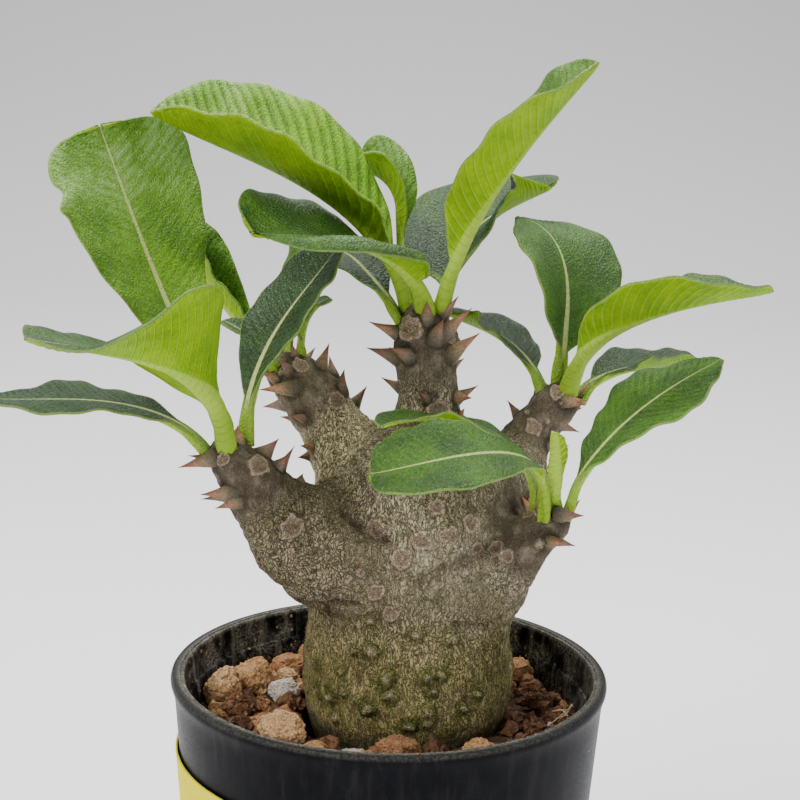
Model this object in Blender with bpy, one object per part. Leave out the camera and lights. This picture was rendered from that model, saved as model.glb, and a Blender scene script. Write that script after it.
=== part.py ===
"""A potted pachypodium: a swollen trunk with five stubby, spiny branches and broad leaves.

The frame has +Z up and +X to the right, the viewer stands at -Y, and the origin is the
centre of the pot's underside. Dimensions below are in millimetres, angles in degrees.
A bearing of 0 points along +X and 90 along +Y; a pitch is the angle above the horizon.
"""

import math
import random

import bmesh
import bpy
import numpy as np
from mathutils import Vector
from mathutils.bvhtree import BVHTree

MM = 0.001
GAP = 0.3
GOLDEN_ANGLE = 137.508

# Pot: outer and inner outlines as (radius, height), both from the bottom up.
POT_SIDES = 48
POT_OUTER = [
    (36.8, 0.0), (38.2, 0.8), (38.7, 2.6), (44.0, 72.4), (44.6, 75.2), (45.0, 77.2), (44.6, 78.0),
]
POT_INNER = [(42.6, 78.0), (42.1, 77.0), (41.7, 71.8), (40.9, 71.2), (36.6, 3.4), (35.6, 2.4)]
DRAIN_HOLES = 6
DRAIN_RING = 20.0
DRAIN_RADIUS = 4.0
DRAIN_SIDES = 12

# Sticker on the pot's left side.
LABEL_BEARINGS = (158.0, 228.0)
LABEL_HEIGHTS = (39.0, 62.5)
LABEL_THICKNESS = 0.4
LABEL_STEPS = 10

# Substrate: a bed that fills the pot, with lumps fused to its top.
BED_LEVEL = 67.0
BED_SIDES = 36
TRUNK_CENTRE = (3.8, 4.5)
TRUNK_FOOT = [(17.2, 54.0), (19.4, 61.0), (20.9, 67.0), (21.9, 72.5), (22.3, 78.0)]
FOOT_SIDES = 30
FOOT_CLEARANCE = 0.5
HOLE_TOP = 82.0
LUMP_SEED = 11
LUMP_POINTS = 11
LUMP_FILL = 30
# Larger lumps that set the look of the surface: (x, y, radius).
KEY_LUMPS = [
    (-35.0, 8.0, 4.1), (-29.4, 15.0, 4.1), (-31.2, 20.0, 2.4), (-23.0, 25.8, 3.8),
    (-23.1, 18.2, 2.8), (-22.6, 10.6, 3.3), (-18.6, 32.5, 2.6), (-20.8, 2.6, 2.8),
    (-26.3, 4.0, 2.4), (-31.6, -0.6, 3.6), (-30.0, -8.6, 3.0), (-21.4, -12.4, 5.2),
    (-21.0, -4.4, 2.5), (-14.2, -20.2, 3.0), (-6.4, -23.4, 2.5), (2.1, -23.6, 4.2),
    (18.6, -20.6, 3.7), (28.8, 22.4, 3.5), (32.4, 7.6, 4.0), (27.6, -2.8, 2.6),
    (32.4, -5.4, 2.8), (27.4, -13.6, 3.6), (34.6, 14.0, 2.0), (22.4, 29.0, 2.8),
]

# Limbs as chains of (x, y, z, radius); each chain is a tapered tube with round joints.
LIMBS = {
    "trunk": [
        (3.8, 4.5, 78.0, 22.0), (4.2, 4.5, 87.0, 21.0), (5.0, 4.5, 93.5, 21.6),
        (5.6, 4.2, 102.0, 22.6), (6.4, 4.2, 110.0, 21.6), (6.6, 4.5, 115.0, 16.6),
    ],
    "front_left": [
        (-3.4, -3.0, 102.0, 15.0), (-12.4, -6.0, 105.5, 12.4), (-18.3, -9.0, 108.6, 10.2),
        (-25.0, -12.0, 116.3, 6.9), (-28.6, -13.6, 121.5, 5.7), (-31.5, -14.0, 125.0, 4.4),
    ],
    "back_left": [
        (-4.4, 5.0, 114.6, 11.8), (-9.8, 9.0, 121.6, 8.2), (-13.9, 12.0, 127.4, 6.6),
        (-17.1, 12.0, 132.3, 6.3), (-20.6, 12.0, 136.2, 5.5), (-23.0, 12.0, 137.6, 4.4),
    ],
    "centre": [
        (7.0, 4.5, 120.0, 10.2), (6.6, 5.0, 128.5, 7.4), (6.4, 5.0, 134.2, 6.2),
        (6.2, 5.0, 140.0, 6.2), (5.8, 5.0, 145.5, 6.3), (5.5, 5.0, 149.0, 5.3),
    ],
    "back_right": [
        (20.0, 6.0, 111.5, 10.4), (24.6, 9.0, 118.5, 7.3), (26.8, 12.0, 123.8, 5.2),
        (29.2, 13.0, 127.5, 4.6), (32.8, 13.0, 131.2, 4.8), (34.5, 13.0, 132.6, 4.2),
    ],
    "front_right": [
        (16.0, -2.5, 99.0, 12.4), (20.6, -7.5, 103.8, 8.8), (24.8, -10.6, 107.8, 6.0),
        (28.4, -12.6, 111.0, 4.3), (31.0, -13.0, 113.0, 3.5),
    ],
}
LIMB_SIDES = 20
SKIN_VOXEL = 1.3
SKIN_TRIANGLES = 2560

# Spines, scars and warts stand on the skin; each limb lists how far along it they begin.
SPINE_LENGTH = 4.6
SPINE_RADIUS = 1.5
SPINE_SIDES = 5
SPINE_SINK = 1.2
SPINE_CLEARANCE = 0.9
CROWN_SPINES = 7
CROWN_PITCH = 12.0
SPINE_START = {
    "front_left": 0.42, "back_left": 0.34, "centre": 0.22, "back_right": 0.40, "front_right": 0.46,
}
SPINE_PAIRS = {"front_left": 12, "back_left": 9, "centre": 11, "back_right": 6, "front_right": 4}
WART_COUNT = 22
WART_HEIGHT = 0.9
WART_RADIUS = 1.5
WART_SIDES = 5
WART_HEIGHTS = (79.0, 116.0)
SCAR_HEIGHT = 0.6
SCAR_SIDES = 7
# Leaf scars as (limb, way along it, bearing round it, radius).
SCARS = [
    ("trunk", 0.72, 252, 2.2), ("trunk", 0.62, 268, 1.9), ("trunk", 0.66, 281, 2.1),
    ("trunk", 0.53, 254, 1.9), ("trunk", 0.44, 262, 1.7), ("trunk", 0.58, 320, 1.9),
    ("trunk", 0.60, 40, 2.0), ("trunk", 0.66, 90, 2.1), ("trunk", 0.50, 130, 1.9),
    ("trunk", 0.70, 160, 2.0), ("front_left", 0.38, 285, 2.4), ("front_left", 0.72, 300, 2.2),
    ("front_left", 0.62, 120, 2.0), ("back_left", 0.55, 320, 2.1), ("back_left", 0.80, 265, 1.9),
    ("back_left", 0.62, 110, 1.9), ("centre", 0.32, 292, 2.2), ("centre", 0.84, 250, 2.2),
    ("centre", 0.82, 312, 2.1), ("centre", 0.58, 80, 2.0), ("centre", 0.75, 150, 2.0),
    ("back_right", 0.56, 290, 1.9), ("back_right", 0.88, 262, 1.8), ("back_right", 0.66, 90, 1.8),
    ("front_right", 0.42, 245, 2.2), ("front_right", 0.55, 60, 1.9),
]

# Leaves. Seat is the (bearing, pitch) of the place on the branch's round end; bearings and
# pitches are those of the midrib at its base, middle and tip; folds raise the left and right
# half of the blade at its base and tip, seen from above with the base towards the viewer.
# First line of a row: name, limb, seat, bearings, pitches. Second line: length, half width,
# rolls, left folds, right folds, bluntness of the tip, slimness of the base, half width of
# the stalk.
LEAVES = [
    ("front_left_1", "front_left", (120, 62), (131, 171, 174), (52, 67, 69),
     64.4, 17.4, (8, 36), (2, 6), (16, 22), 0.27, 1.05, 1.6),
    ("front_left_2", "front_left", (262, 50), (255, 229, 222), (71, 22, 14),
     54.5, 19.6, (-32, 14), (108, 6), (44, -6), 0.78, 1.05, 2.1),
    ("front_left_3", "front_left", (195, 25), (190, 189, 178), (54, 7, 2),
     44.3, 10.0, (7, 3), (0, 6), (10, 4), 0.53, 1.05, 1.7),
    ("front_left_4", "front_left", (40, 50), (68, 44, 0), (88, 51, 60),
     45.6, 10.4, (7, -10), (15, 14), (26, 8), 0.43, 1.05, 1.4),
    ("centre_1", "centre", (173, 50), (214, 193, 195), (76, 29, 26),
     65.6, 17.0, (28, 9), (46, 33), (73, 38), 0.62, 1.05, 1.6),
    ("centre_2", "centre", (268, 52), (241, 215, 218), (66, 15, 4),
     46.2, 16.8, (6, 5), (20, 10), (4, 30), 0.34, 0.6, 2.2),
    ("centre_3", "centre", (28, 50), (72, 53, -40), (44, 33, 24),
     42.8, 17.4, (12, -8), (36, 14), (52, 30), 0.36, 0.56, 1.4),
    ("centre_4", "centre", (345, 52), (-23, -17, -12), (80, 56, 50),
     57.0, 13.4, (6, -14), (36, 28), (63, 18), 0.64, 1.05, 1.6),
    ("centre_5", "centre", (136, 36), (138, 158, 168), (77, 86, 87),
     33.2, 8.4, (0, 0), (104, 26), (0, 74), 0.42, 3.4, 1.2),
    ("centre_6", "centre", (186, 26), (178, 128, 120), (58, 27, -14),
     27.0, 8.4, (2, 5), (7, 7), (8, 20), 0.55, 1.05, 1.4),
    ("back_left_1", "back_left", (165, 48), (164, 160, 162), (49, 49, 86),
     35.0, 6.8, (2, 0), (56, 42), (84, 84), 0.55, 1.05, 1.5),
    ("back_left_2", "back_left", (100, 58), (90, 36, 20), (66, 78, 80),
     31.6, 5.4, (0, 0), (22, 16), (25, 20), 0.55, 1.05, 1.3),
    ("back_left_3", "back_left", (20, 58), (19, 8, 12), (88, 66, 8),
     14.6, 3.8, (0, -4), (17, 3), (20, 2), 0.55, 1.05, 1.0),
    ("back_left_4", "back_left", (240, 30), (240, 204, 150), (40, 44, 10),
     15.4, 3.9, (0, 8), (19, 8), (20, 14), 0.55, 1.05, 1.0),
    ("back_right_1", "back_right", (90, 62), (102, 125, 165), (100, 82, 2),
     41.0, 15.6, (-9, 5), (60, -6), (44, -8), 0.57, 1.05, 1.4),
    ("back_right_2", "back_right", (300, 50), (290, 341, 375), (70, 23, 8),
     51.1, 11.8, (5, -3), (52, 12), (72, 18), 0.76, 1.05, 1.6),
    ("back_right_3", "back_right", (5, 20), (40, 1, -28), (50, 11, 20),
     26.8, 11.2, (1, 10), (33, 13), (10, 10), 0.7, 1.05, 1.4),
    ("back_right_4", "back_right", (175, 40), (135, 143, 222), (60, 25, 22),
     29.0, 11.0, (-21, -12), (5, 5), (10, 31), 0.64, 1.05, 1.4),
    ("front_right_1", "front_right", (355, 50), (-20, 16, 2), (80, 40, 29),
     44.2, 12.6, (-10, -8), (3, -2), (19, 6), 0.6, 1.05, 1.3),
    ("front_right_2", "front_right", (235, 52), (262, 214, 174), (84, 7, -13),
     49.6, 9.8, (20, 29), (2, 12), (2, 11), 0.37, 1.05, 1.3),
    ("front_right_3", "front_right", (285, 80), (284, 250, 230), (82, 86, 82),
     15.2, 2.6, (0, 0), (60, 58), (60, 58), 0.6, 1.05, 0.9),
    ("front_right_4", "front_right", (160, 50), (138, 175, 238), (88, 19, -6),
     44.0, 6.4, (-13, -23), (-5, -5), (0, 30), 0.55, 1.05, 1.2),
]
LEAF_RINGS = 12
STALK_SHARE = 0.14
BLADE_THICKNESS = 0.7
KEEL_DEPTH = 1.2
WAVE_HEIGHT = 0.55
WAVE_COUNT = 2.5
WAVE_FULL = 6.0
HALF_SAG = 0.06
# A young blade that curls over: where the curl starts, and the degrees it adds at the tip.
CURLS = {"centre_5": (0.60, -90.0)}

COLOURS = {
    "pot_plastic": ((0.018, 0.019, 0.022), 0.42),
    "label_paper": ((0.86, 0.76, 0.10), 0.55),
    "pumice_soil": ((0.36, 0.19, 0.10), 0.95),
    "bark": ((0.30, 0.25, 0.18), 0.85),
    "leaf_green": ((0.09, 0.26, 0.03), 0.38),
}


def clear_scene():
    for thing in list(bpy.data.objects):
        bpy.data.objects.remove(thing, do_unlink=True)


def material(name):
    found = bpy.data.materials.get(name)
    if found:
        return found
    colour, rough = COLOURS[name]
    found = bpy.data.materials.new(name)
    found.use_nodes = True
    shader = found.node_tree.nodes["Principled BSDF"]
    shader.inputs["Base Color"].default_value = (*colour, 1.0)
    shader.inputs["Roughness"].default_value = rough
    found.diffuse_color = (*colour, 1.0)
    return found


def mesh_object(name, points, faces, look):
    """An object from points in millimetres, its faces turned outward."""
    mesh = bpy.data.meshes.new(name)
    mesh.from_pydata([tuple(MM * v for v in p) for p in points], [], faces)
    body = bmesh.new()
    body.from_mesh(mesh)
    bmesh.ops.recalc_face_normals(body, faces=body.faces)
    body.to_mesh(mesh)
    body.free()
    thing = bpy.data.objects.new(name, mesh)
    bpy.context.scene.collection.objects.link(thing)
    mesh.materials.append(material(look))
    return thing


def lathe(name, outline, sides, look, centre=(0.0, 0.0)):
    """An outline of (radius, height) turned round an upright axis, closed where it meets it."""
    points = []
    rows = []
    for radius, height in outline:
        if radius == 0.0:
            rows.append([len(points)] * sides)
            points.append((centre[0], centre[1], height))
            continue
        rows.append(range(len(points), len(points) + sides))
        for k in range(sides):
            turn = 2 * math.pi * k / sides
            x, y = radius * math.cos(turn), radius * math.sin(turn)
            points.append((centre[0] + x, centre[1] + y, height))
    faces = []
    for low, high in zip(rows, rows[1:]):
        for k in range(sides):
            corner = [low[k], low[(k + 1) % sides], high[(k + 1) % sides], high[k]]
            faces.append([v for i, v in enumerate(corner) if v not in corner[:i]])
    return mesh_object(name, points, faces, look)


def apply_modifiers(thing):
    graph = bpy.context.evaluated_depsgraph_get()
    mesh = bpy.data.meshes.new_from_object(thing.evaluated_get(graph))
    thing.modifiers.clear()
    thing.data = mesh


def combine(base, others, operation):
    """One Boolean of the base with a collection of the others, which are then removed."""
    group = bpy.data.collections.new(base.name + "_others")
    for other in others:
        group.objects.link(other)
        bpy.context.scene.collection.objects.unlink(other)
    step = base.modifiers.new(operation.lower(), "BOOLEAN")
    step.operation = operation
    step.operand_type = "COLLECTION"
    step.collection = group
    step.solver = "EXACT"
    bpy.context.view_layer.update()
    apply_modifiers(base)
    for other in others:
        bpy.data.objects.remove(other, do_unlink=True)
    bpy.data.collections.remove(group)
    return base


def radius_at(outline, height):
    """Radius of an outline's side at a height, between its two nearest points."""
    rows = sorted(outline, key=lambda row: row[1])
    return float(np.interp(height, [row[1] for row in rows], [row[0] for row in rows]))


def make_pot():
    floor = POT_INNER[-1][1]
    outline = [(0.0, 0.0)] + POT_OUTER + POT_INNER + [(0.0, floor)]
    pot = lathe("pot", outline, POT_SIDES, "pot_plastic")
    core = [(0.0, -floor), (DRAIN_RADIUS, -floor), (DRAIN_RADIUS, 2 * floor), (0.0, 2 * floor)]
    drills = []
    for k in range(DRAIN_HOLES):
        turn = 2 * math.pi * k / DRAIN_HOLES
        centre = (DRAIN_RING * math.cos(turn), DRAIN_RING * math.sin(turn))
        drills.append(lathe("drill", core, DRAIN_SIDES, "pot_plastic", centre))
    return combine(pot, drills, "DIFFERENCE")


def make_label():
    """A strip that follows the tapered wall, one gap clear of it."""
    points = []
    first, last = LABEL_BEARINGS
    for k in range(LABEL_STEPS + 1):
        turn = math.radians(first + (last - first) * k / LABEL_STEPS)
        for height in LABEL_HEIGHTS:
            for depth in (GAP, GAP + LABEL_THICKNESS):
                radius = radius_at(POT_OUTER[2:4], height) + depth
                points.append((radius * math.cos(turn), radius * math.sin(turn), height))
    faces = [[0, 2, 3, 1]]
    for k in range(LABEL_STEPS):
        near, far = 4 * k, 4 * k + 4
        for a, b in ((0, 1), (1, 3), (3, 2), (2, 0)):
            faces.append([near + a, near + b, far + b, far + a])
    end = 4 * LABEL_STEPS
    faces.append([end, end + 1, end + 3, end + 2])
    return mesh_object("pot_label", points, faces, "label_paper")


def lump_rows():
    """(x, y, z, radius, seed) of each lump: the key ones, then seeded ones among them."""
    rows = []
    for k, (x, y, radius) in enumerate(KEY_LUMPS):
        rows.append((x, y, BED_LEVEL + 0.5 * radius, radius, k))
    draw = random.Random(LUMP_SEED)
    tries = 0
    while len(rows) < len(KEY_LUMPS) + LUMP_FILL and tries < 4000:
        tries += 1
        turn = draw.uniform(0.0, 2 * math.pi)
        reach = draw.uniform(20.0, 38.5)
        radius = draw.choice((1.6, 2.0, 2.4, 2.9))
        x, y = reach * math.cos(turn), reach * math.sin(turn)
        foot = math.hypot(x - TRUNK_CENTRE[0], y - TRUNK_CENTRE[1])
        if foot < TRUNK_FOOT[-1][0] + 0.4 * radius or reach > 39.4 - radius:
            continue
        if any(math.hypot(x - r[0], y - r[1]) < 0.72 * (radius + r[3]) for r in rows):
            continue
        rows.append((x, y, BED_LEVEL + 0.35 * radius, radius, 100 + len(rows)))
    return rows


def make_lump(row):
    """A rough stone: the hull of seeded points near a flattened ball."""
    x, y, z, radius, seed = row
    draw = random.Random(seed)
    body = bmesh.new()
    stretch = (draw.uniform(0.85, 1.2), draw.uniform(0.85, 1.2), draw.uniform(0.75, 0.95))
    for k in range(LUMP_POINTS):
        height = 1 - (2 * k + 1) / LUMP_POINTS
        turn = math.radians(GOLDEN_ANGLE * k + seed * 47)
        ring = math.sqrt(1 - height * height)
        size = radius * draw.uniform(0.84, 1.12)
        ball = (ring * math.cos(turn), ring * math.sin(turn), height)
        point = Vector([a * b for a, b in zip(ball, stretch)])
        body.verts.new((Vector((x, y, z)) + point * size) * MM)
    bmesh.ops.convex_hull(body, input=body.verts)
    bmesh.ops.delete(body, geom=[v for v in body.verts if not v.link_faces], context="VERTS")
    bmesh.ops.recalc_face_normals(body, faces=body.faces)
    mesh = bpy.data.meshes.new("lump")
    body.to_mesh(mesh)
    body.free()
    thing = bpy.data.objects.new("lump", mesh)
    bpy.context.scene.collection.objects.link(thing)
    mesh.materials.append(material("pumice_soil"))
    return thing


def make_substrate():
    floor = POT_INNER[-1][1] + GAP
    edge = [(radius - GAP, height) for radius, height in POT_INNER[3:5]]
    outline = [
        (0.0, floor), (POT_INNER[-1][0] - 2 * GAP, floor), (edge[1][0], edge[1][1] + 2 * GAP),
        (radius_at(edge, BED_LEVEL), BED_LEVEL), (0.0, BED_LEVEL),
    ]
    bed = lathe("substrate", outline, BED_SIDES, "pumice_soil")
    combine(bed, [make_lump(row) for row in lump_rows()], "UNION")
    hole = [(0.0, TRUNK_FOOT[0][1] - GAP)]
    hole += [(radius + FOOT_CLEARANCE, height - GAP) for radius, height in TRUNK_FOOT]
    hole += [(TRUNK_FOOT[-1][0] + FOOT_CLEARANCE, HOLE_TOP), (0.0, HOLE_TOP)]
    cutter = lathe("hole", hole, FOOT_SIDES, "pumice_soil", TRUNK_CENTRE)
    return combine(bed, [cutter], "DIFFERENCE")


def limb_point(limb, share):
    """Centre, radius and direction of a limb at a share of its length."""
    rows = np.array(LIMBS[limb])
    steps = np.linalg.norm(np.diff(rows[:, :3], axis=0), axis=1)
    along = np.concatenate([[0.0], np.cumsum(steps)])
    here = share * along[-1]
    values = [float(np.interp(here, along, rows[:, k])) for k in range(4)]
    k = min(int(np.searchsorted(along, here, side="right")), len(rows) - 1)
    heading = Vector(rows[k, :3] - rows[k - 1, :3]).normalized()
    return Vector(values[:3]), values[3], heading


def tube_between(start, end):
    """A ball at the start and a cone to the next ball, as one closed mesh."""
    a, b = Vector(start[:3]), Vector(end[:3])
    heading = (b - a).normalized()
    side = heading.orthogonal().normalized()
    other = heading.cross(side)
    rings = [(-0.98, 0.2), (-0.85, 0.53), (-0.5, 0.87), (0.0, 1.0)]
    rows = [(a + heading * start[3] * h, start[3] * w) for h, w in rings]
    rows += [(b + heading * end[3] * -h, end[3] * w) for h, w in reversed(rings)]
    points = []
    for centre, radius in rows:
        for k in range(LIMB_SIDES):
            turn = 2 * math.pi * k / LIMB_SIDES
            points.append(centre + (side * math.cos(turn) + other * math.sin(turn)) * radius)
    return points, sleeve_faces(len(rows), LIMB_SIDES)


def sleeve_faces(rows, sides):
    """Faces of a closed sleeve of rings with flat ends."""
    faces = [list(range(sides))[::-1], [(rows - 1) * sides + k for k in range(sides)]]
    for row in range(rows - 1):
        for k in range(sides):
            low, nxt = row * sides + k, row * sides + (k + 1) % sides
            faces.append([low, nxt, nxt + sides, low + sides])
    return faces


def foot_mesh():
    """The part of the trunk that stands in the substrate, turned round the trunk's axis."""
    x, y = TRUNK_CENTRE
    points = []
    for radius, height in TRUNK_FOOT:
        for k in range(FOOT_SIDES):
            turn = 2 * math.pi * k / FOOT_SIDES
            points.append((x + radius * math.cos(turn), y + radius * math.sin(turn), height))
    return points, sleeve_faces(len(TRUNK_FOOT), FOOT_SIDES)


def make_skin():
    """Trunk and branches melted into one smooth skin."""
    pieces = [foot_mesh()]
    for rows in LIMBS.values():
        pieces += [tube_between(start, end) for start, end in zip(rows, rows[1:])]
    points = []
    faces = []
    for more, sheets in pieces:
        faces += [[v + len(points) for v in sheet] for sheet in sheets]
        points += more
    skin = mesh_object("caudex", points, faces, "bark")
    melt = skin.modifiers.new("melt", "REMESH")
    melt.mode = "VOXEL"
    melt.voxel_size = SKIN_VOXEL * MM
    ease = skin.modifiers.new("ease", "SMOOTH")
    ease.factor = 0.5
    ease.iterations = 8
    apply_modifiers(skin)
    fewer = skin.modifiers.new("fewer", "DECIMATE")
    fewer.ratio = SKIN_TRIANGLES / (2.0 * len(skin.data.polygons))
    fewer.use_collapse_triangulate = True
    apply_modifiers(skin)
    return skin


def skin_tree(skin):
    body = bmesh.new()
    body.from_mesh(skin.data)
    tree = BVHTree.FromBMesh(body)
    body.free()
    return tree


def skin_hit(tree, start, heading):
    """Where a ray from inside a limb leaves the skin, and the outward normal there, in millimetres."""
    place, normal, _, _ = tree.ray_cast(start * MM, heading.normalized())
    if place is None:
        return None
    return place / MM, normal.normalized()


def peg(place, axis, length, radius, sides, sink, top=0.0):
    """A cone standing on the skin with its root sunk in; with a top radius it is a low disc."""
    axis = axis.normalized()
    side = axis.orthogonal().normalized()
    other = axis.cross(side)
    points = []
    for level, width in ((-sink, radius), (0.0, radius), (length, top)):
        if width == 0.0:
            points.append(place + axis * level)
            continue
        for k in range(sides):
            turn = 2 * math.pi * k / sides
            outward = side * math.cos(turn) + other * math.sin(turn)
            points.append(place + axis * level + outward * width)
    faces = [list(range(sides))[::-1]]
    for k in range(sides):
        after = (k + 1) % sides
        faces.append([k, after, sides + after, sides + k])
        ending = [2 * sides + after, 2 * sides + k] if top else [2 * sides]
        faces.append([sides + k, sides + after] + ending)
    if top:
        faces.append([2 * sides + k for k in range(sides)])
    return mesh_object("peg", points, faces, "bark")


def leaf_points():
    """Points along and across every leaf, to keep the spines clear of them."""
    found = []
    for row in LEAVES:
        for frame in leaf_frames(row, LEAF_RINGS):
            found += leaf_section(row, frame)
    return np.array(found)


def clears_leaves(place, axis, length, leaves):
    """Whether a spine stays clear of the blades, with more room round its broad root."""
    for share in (0.0, 0.4, 0.7, 1.0):
        point = np.array(place + axis.normalized() * length * share)
        room = SPINE_CLEARANCE + SPINE_RADIUS * (1 - share)
        if np.linalg.norm(leaves - point, axis=1).min() < room:
            return False
    return True


def crown_spines(tree, limb):
    """A ring of spines round the shoulder of a branch's end, among the leaf stalks."""
    rows = []
    x, y, z, radius = LIMBS[limb][-1]
    for k in range(CROWN_SPINES):
        outward = heading_of(360.0 * k / CROWN_SPINES + 17 * len(limb), CROWN_PITCH)
        hit = skin_hit(tree, Vector((x, y, z)), outward)
        rows.append((hit[0], outward + Vector((0, 0, 0.75)), SPINE_LENGTH * (0.8 + 0.12 * (k % 3))))
    return rows


def spine_rows(tree):
    """Places and directions of the spines: pairs that climb each branch by the golden angle."""
    rows = []
    leaves = leaf_points()
    for limb in SPINE_PAIRS:
        rows += crown_spines(tree, limb)
    for limb, count in SPINE_PAIRS.items():
        draw = random.Random(len(limb) * 7 + count)
        for k in range(count):
            share = SPINE_START[limb] + (1.0 - SPINE_START[limb]) * ((k + 0.5) / count) ** 0.7
            centre, radius, heading = limb_point(limb, min(share, 0.995))
            side = heading.orthogonal().normalized()
            other = heading.cross(side)
            turn = math.radians(GOLDEN_ANGLE * k + 40)
            for twin in (-1, 1):
                angle = turn + twin * 1.75 / radius
                outward = side * math.cos(angle) + other * math.sin(angle)
                hit = skin_hit(tree, centre, outward + heading * 0.15)
                if hit is None:
                    continue
                lean = 0.25 + 0.45 * share ** 3
                axis = hit[1] * 0.55 + outward * 0.55 + heading * lean
                length = SPINE_LENGTH * draw.uniform(0.8, 1.12)
                rows.append((hit[0], axis, length))
    return [row for row in rows if clears_leaves(*row, leaves)]


def scar_rows(tree):
    """Leaf scars at their listed places, then warts over the trunk by the golden angle."""
    rows = []
    for limb, share, bearing, radius in SCARS:
        centre, _, _ = limb_point(limb, share)
        outward = Vector((math.cos(math.radians(bearing)), math.sin(math.radians(bearing)), 0.0))
        hit = skin_hit(tree, centre, outward)
        if hit:
            rows.append((hit[0], hit[1], SCAR_HEIGHT, radius, SCAR_SIDES, 0.72 * radius))
    low, high = WART_HEIGHTS
    for k in range(WART_COUNT):
        height = low + (high - low) * (k + 0.5) / WART_COUNT
        turn = math.radians(GOLDEN_ANGLE * k)
        start = Vector((limb_point("trunk", 0.5)[0].x, 4.4, height))
        hit = skin_hit(tree, start, Vector((math.cos(turn), math.sin(turn), 0.1)))
        if hit:
            rows.append((hit[0], hit[1], WART_HEIGHT, WART_RADIUS, WART_SIDES, 0.0))
    return rows


def make_caudex():
    skin = make_skin()
    tree = skin_tree(skin)
    pegs = [peg(place, axis, length, SPINE_RADIUS, SPINE_SIDES, SPINE_SINK)
            for place, axis, length in spine_rows(tree)]
    pegs += [peg(place, axis, height, radius, sides, 0.9, top)
             for place, axis, height, radius, sides, top in scar_rows(tree)]
    return combine(skin, pegs, "UNION")


def three_point(values, share):
    """The value at a share of the way along a smooth run through base, middle and tip."""
    base, middle, tip = values
    near, far = 1 - share, 2 * share - 1
    return -base * near * far + 4 * middle * share * near + tip * share * far


def pitch_at(row, share):
    start, turn = CURLS.get(row[0], (1.0, 0.0))
    return three_point(row[4], share) + turn * max(0.0, share - start) / max(1.0 - start, 1e-6)


def half_width(share, width, bluntness, rise):
    """Half width of an egg-shaped blade that is broadest near two thirds and narrows to its stalk."""
    run = min(max((share - STALK_SHARE) / (1 - STALK_SHARE), 0.0), 1.0)
    peak = rise / (rise + bluntness)
    return width * (run / peak) ** rise * ((1 - run) / (1 - peak)) ** bluntness


def heading_of(bearing, pitch):
    b, p = math.radians(bearing), math.radians(pitch)
    return Vector((math.cos(p) * math.cos(b), math.cos(p) * math.sin(b), math.sin(p)))


def leaf_frames(row, rings):
    """(share, midrib point, sideways, upward) at each ring along a leaf."""
    _, limb, seat, bearings, _, length, _, rolls = row[:8]
    x, y, z, radius = LIMBS[limb][-1]
    point = Vector((x, y, z)) + heading_of(*seat) * (radius + GAP)
    fine = 20
    frames = []
    last = 0.0
    for k in range(rings + 1):
        share = 1 - (1 - k / rings) ** 1.3
        for step in range(fine):
            middle = last + (share - last) * (step + 0.5) / fine
            step_heading = heading_of(three_point(bearings, middle), pitch_at(row, middle))
            point = point + step_heading * (length * (share - last) / fine)
        bearing, pitch = three_point(bearings, share), pitch_at(row, share)
        along = heading_of(bearing, pitch)
        above = heading_of(bearing, pitch + 90)
        roll = math.radians(rolls[0] + (rolls[1] - rolls[0]) * share)
        right = along.cross(above)
        frames.append((share, point, right * math.cos(roll) + above * math.sin(roll),
                       above * math.cos(roll) - right * math.sin(roll)))
        last = share
    return frames


def leaf_section(row, frame):
    """Five points over the upper face and five below it, from the left margin to the right one."""
    width, _, left_folds, right_folds, bluntness, rise, stalk = row[6:]
    share, point, right, above = frame
    blade = half_width(share, width, bluntness, rise)
    reach = max(blade, stalk * (1 - share) ** 2, 0.6)
    phase = 2 * math.pi * WAVE_COUNT * share + len(row[0]) + width
    wave = WAVE_HEIGHT * min(1.0, blade / WAVE_FULL) * math.sin(phase)
    upper = []
    for sign, folds in ((-1, left_folds), (1, right_folds)):
        fold = math.radians(folds[0] + (folds[1] - folds[0]) * share)
        outward = right * (sign * math.cos(fold)) + above * math.sin(fold)
        normal = above * math.cos(fold) - right * (sign * math.sin(fold))
        middle = point + outward * (0.5 * reach) - normal * (HALF_SAG * blade)
        margin = point + outward * reach + normal * wave * sign
        pair = [(middle, normal), (margin, normal)]
        upper = pair[::-1] if sign < 0 else upper + [(point, above)] + pair
    keel = BLADE_THICKNESS + KEEL_DEPTH * (1 - share) ** 1.5 * min(1.0, stalk / 1.5)
    side = BLADE_THICKNESS + 0.5 * max(0.0, 1 - share / STALK_SHARE)
    depths = (BLADE_THICKNESS, side, keel, side, BLADE_THICKNESS)
    lower = [place - normal * depth for (place, normal), depth in zip(upper, depths)]
    return [place for place, _ in upper] + lower


def make_leaf(row):
    frames = leaf_frames(row, LEAF_RINGS)
    points = []
    for frame in frames:
        points += leaf_section(row, frame)
    faces = []
    for k in range(LEAF_RINGS):
        near, far = 10 * k, 10 * k + 10
        for j in range(4):
            a, b, c, d = near + j, near + j + 1, far + j + 1, far + j
            faces += [[a, b, c], [a, c, d]]
            faces += [[a + 5, c + 5, b + 5], [a + 5, d + 5, c + 5]]
        for j in (0, 4):
            faces += [[near + j, far + j, far + j + 5, near + j + 5]]
    for base in (0, 10 * LEAF_RINGS):
        for j in range(4):
            faces.append([base + j, base + j + 1, base + j + 6, base + j + 5])
    return mesh_object("leaf_" + row[0], points, faces, "leaf_green")


def main():
    clear_scene()
    make_pot()
    make_label()
    make_substrate()
    make_caudex()
    for row in LEAVES:
        make_leaf(row)


main()
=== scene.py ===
"""Looks of a potted pachypodium: bark, spines, leaves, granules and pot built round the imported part.

Lengths are in millimetres and angles in degrees unless a name says otherwise. +Z is up, the
viewer stands at -Y, and a bearing of 0 points along +X and 90 along +Y.
"""

import math
import random
from contextlib import contextmanager

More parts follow.
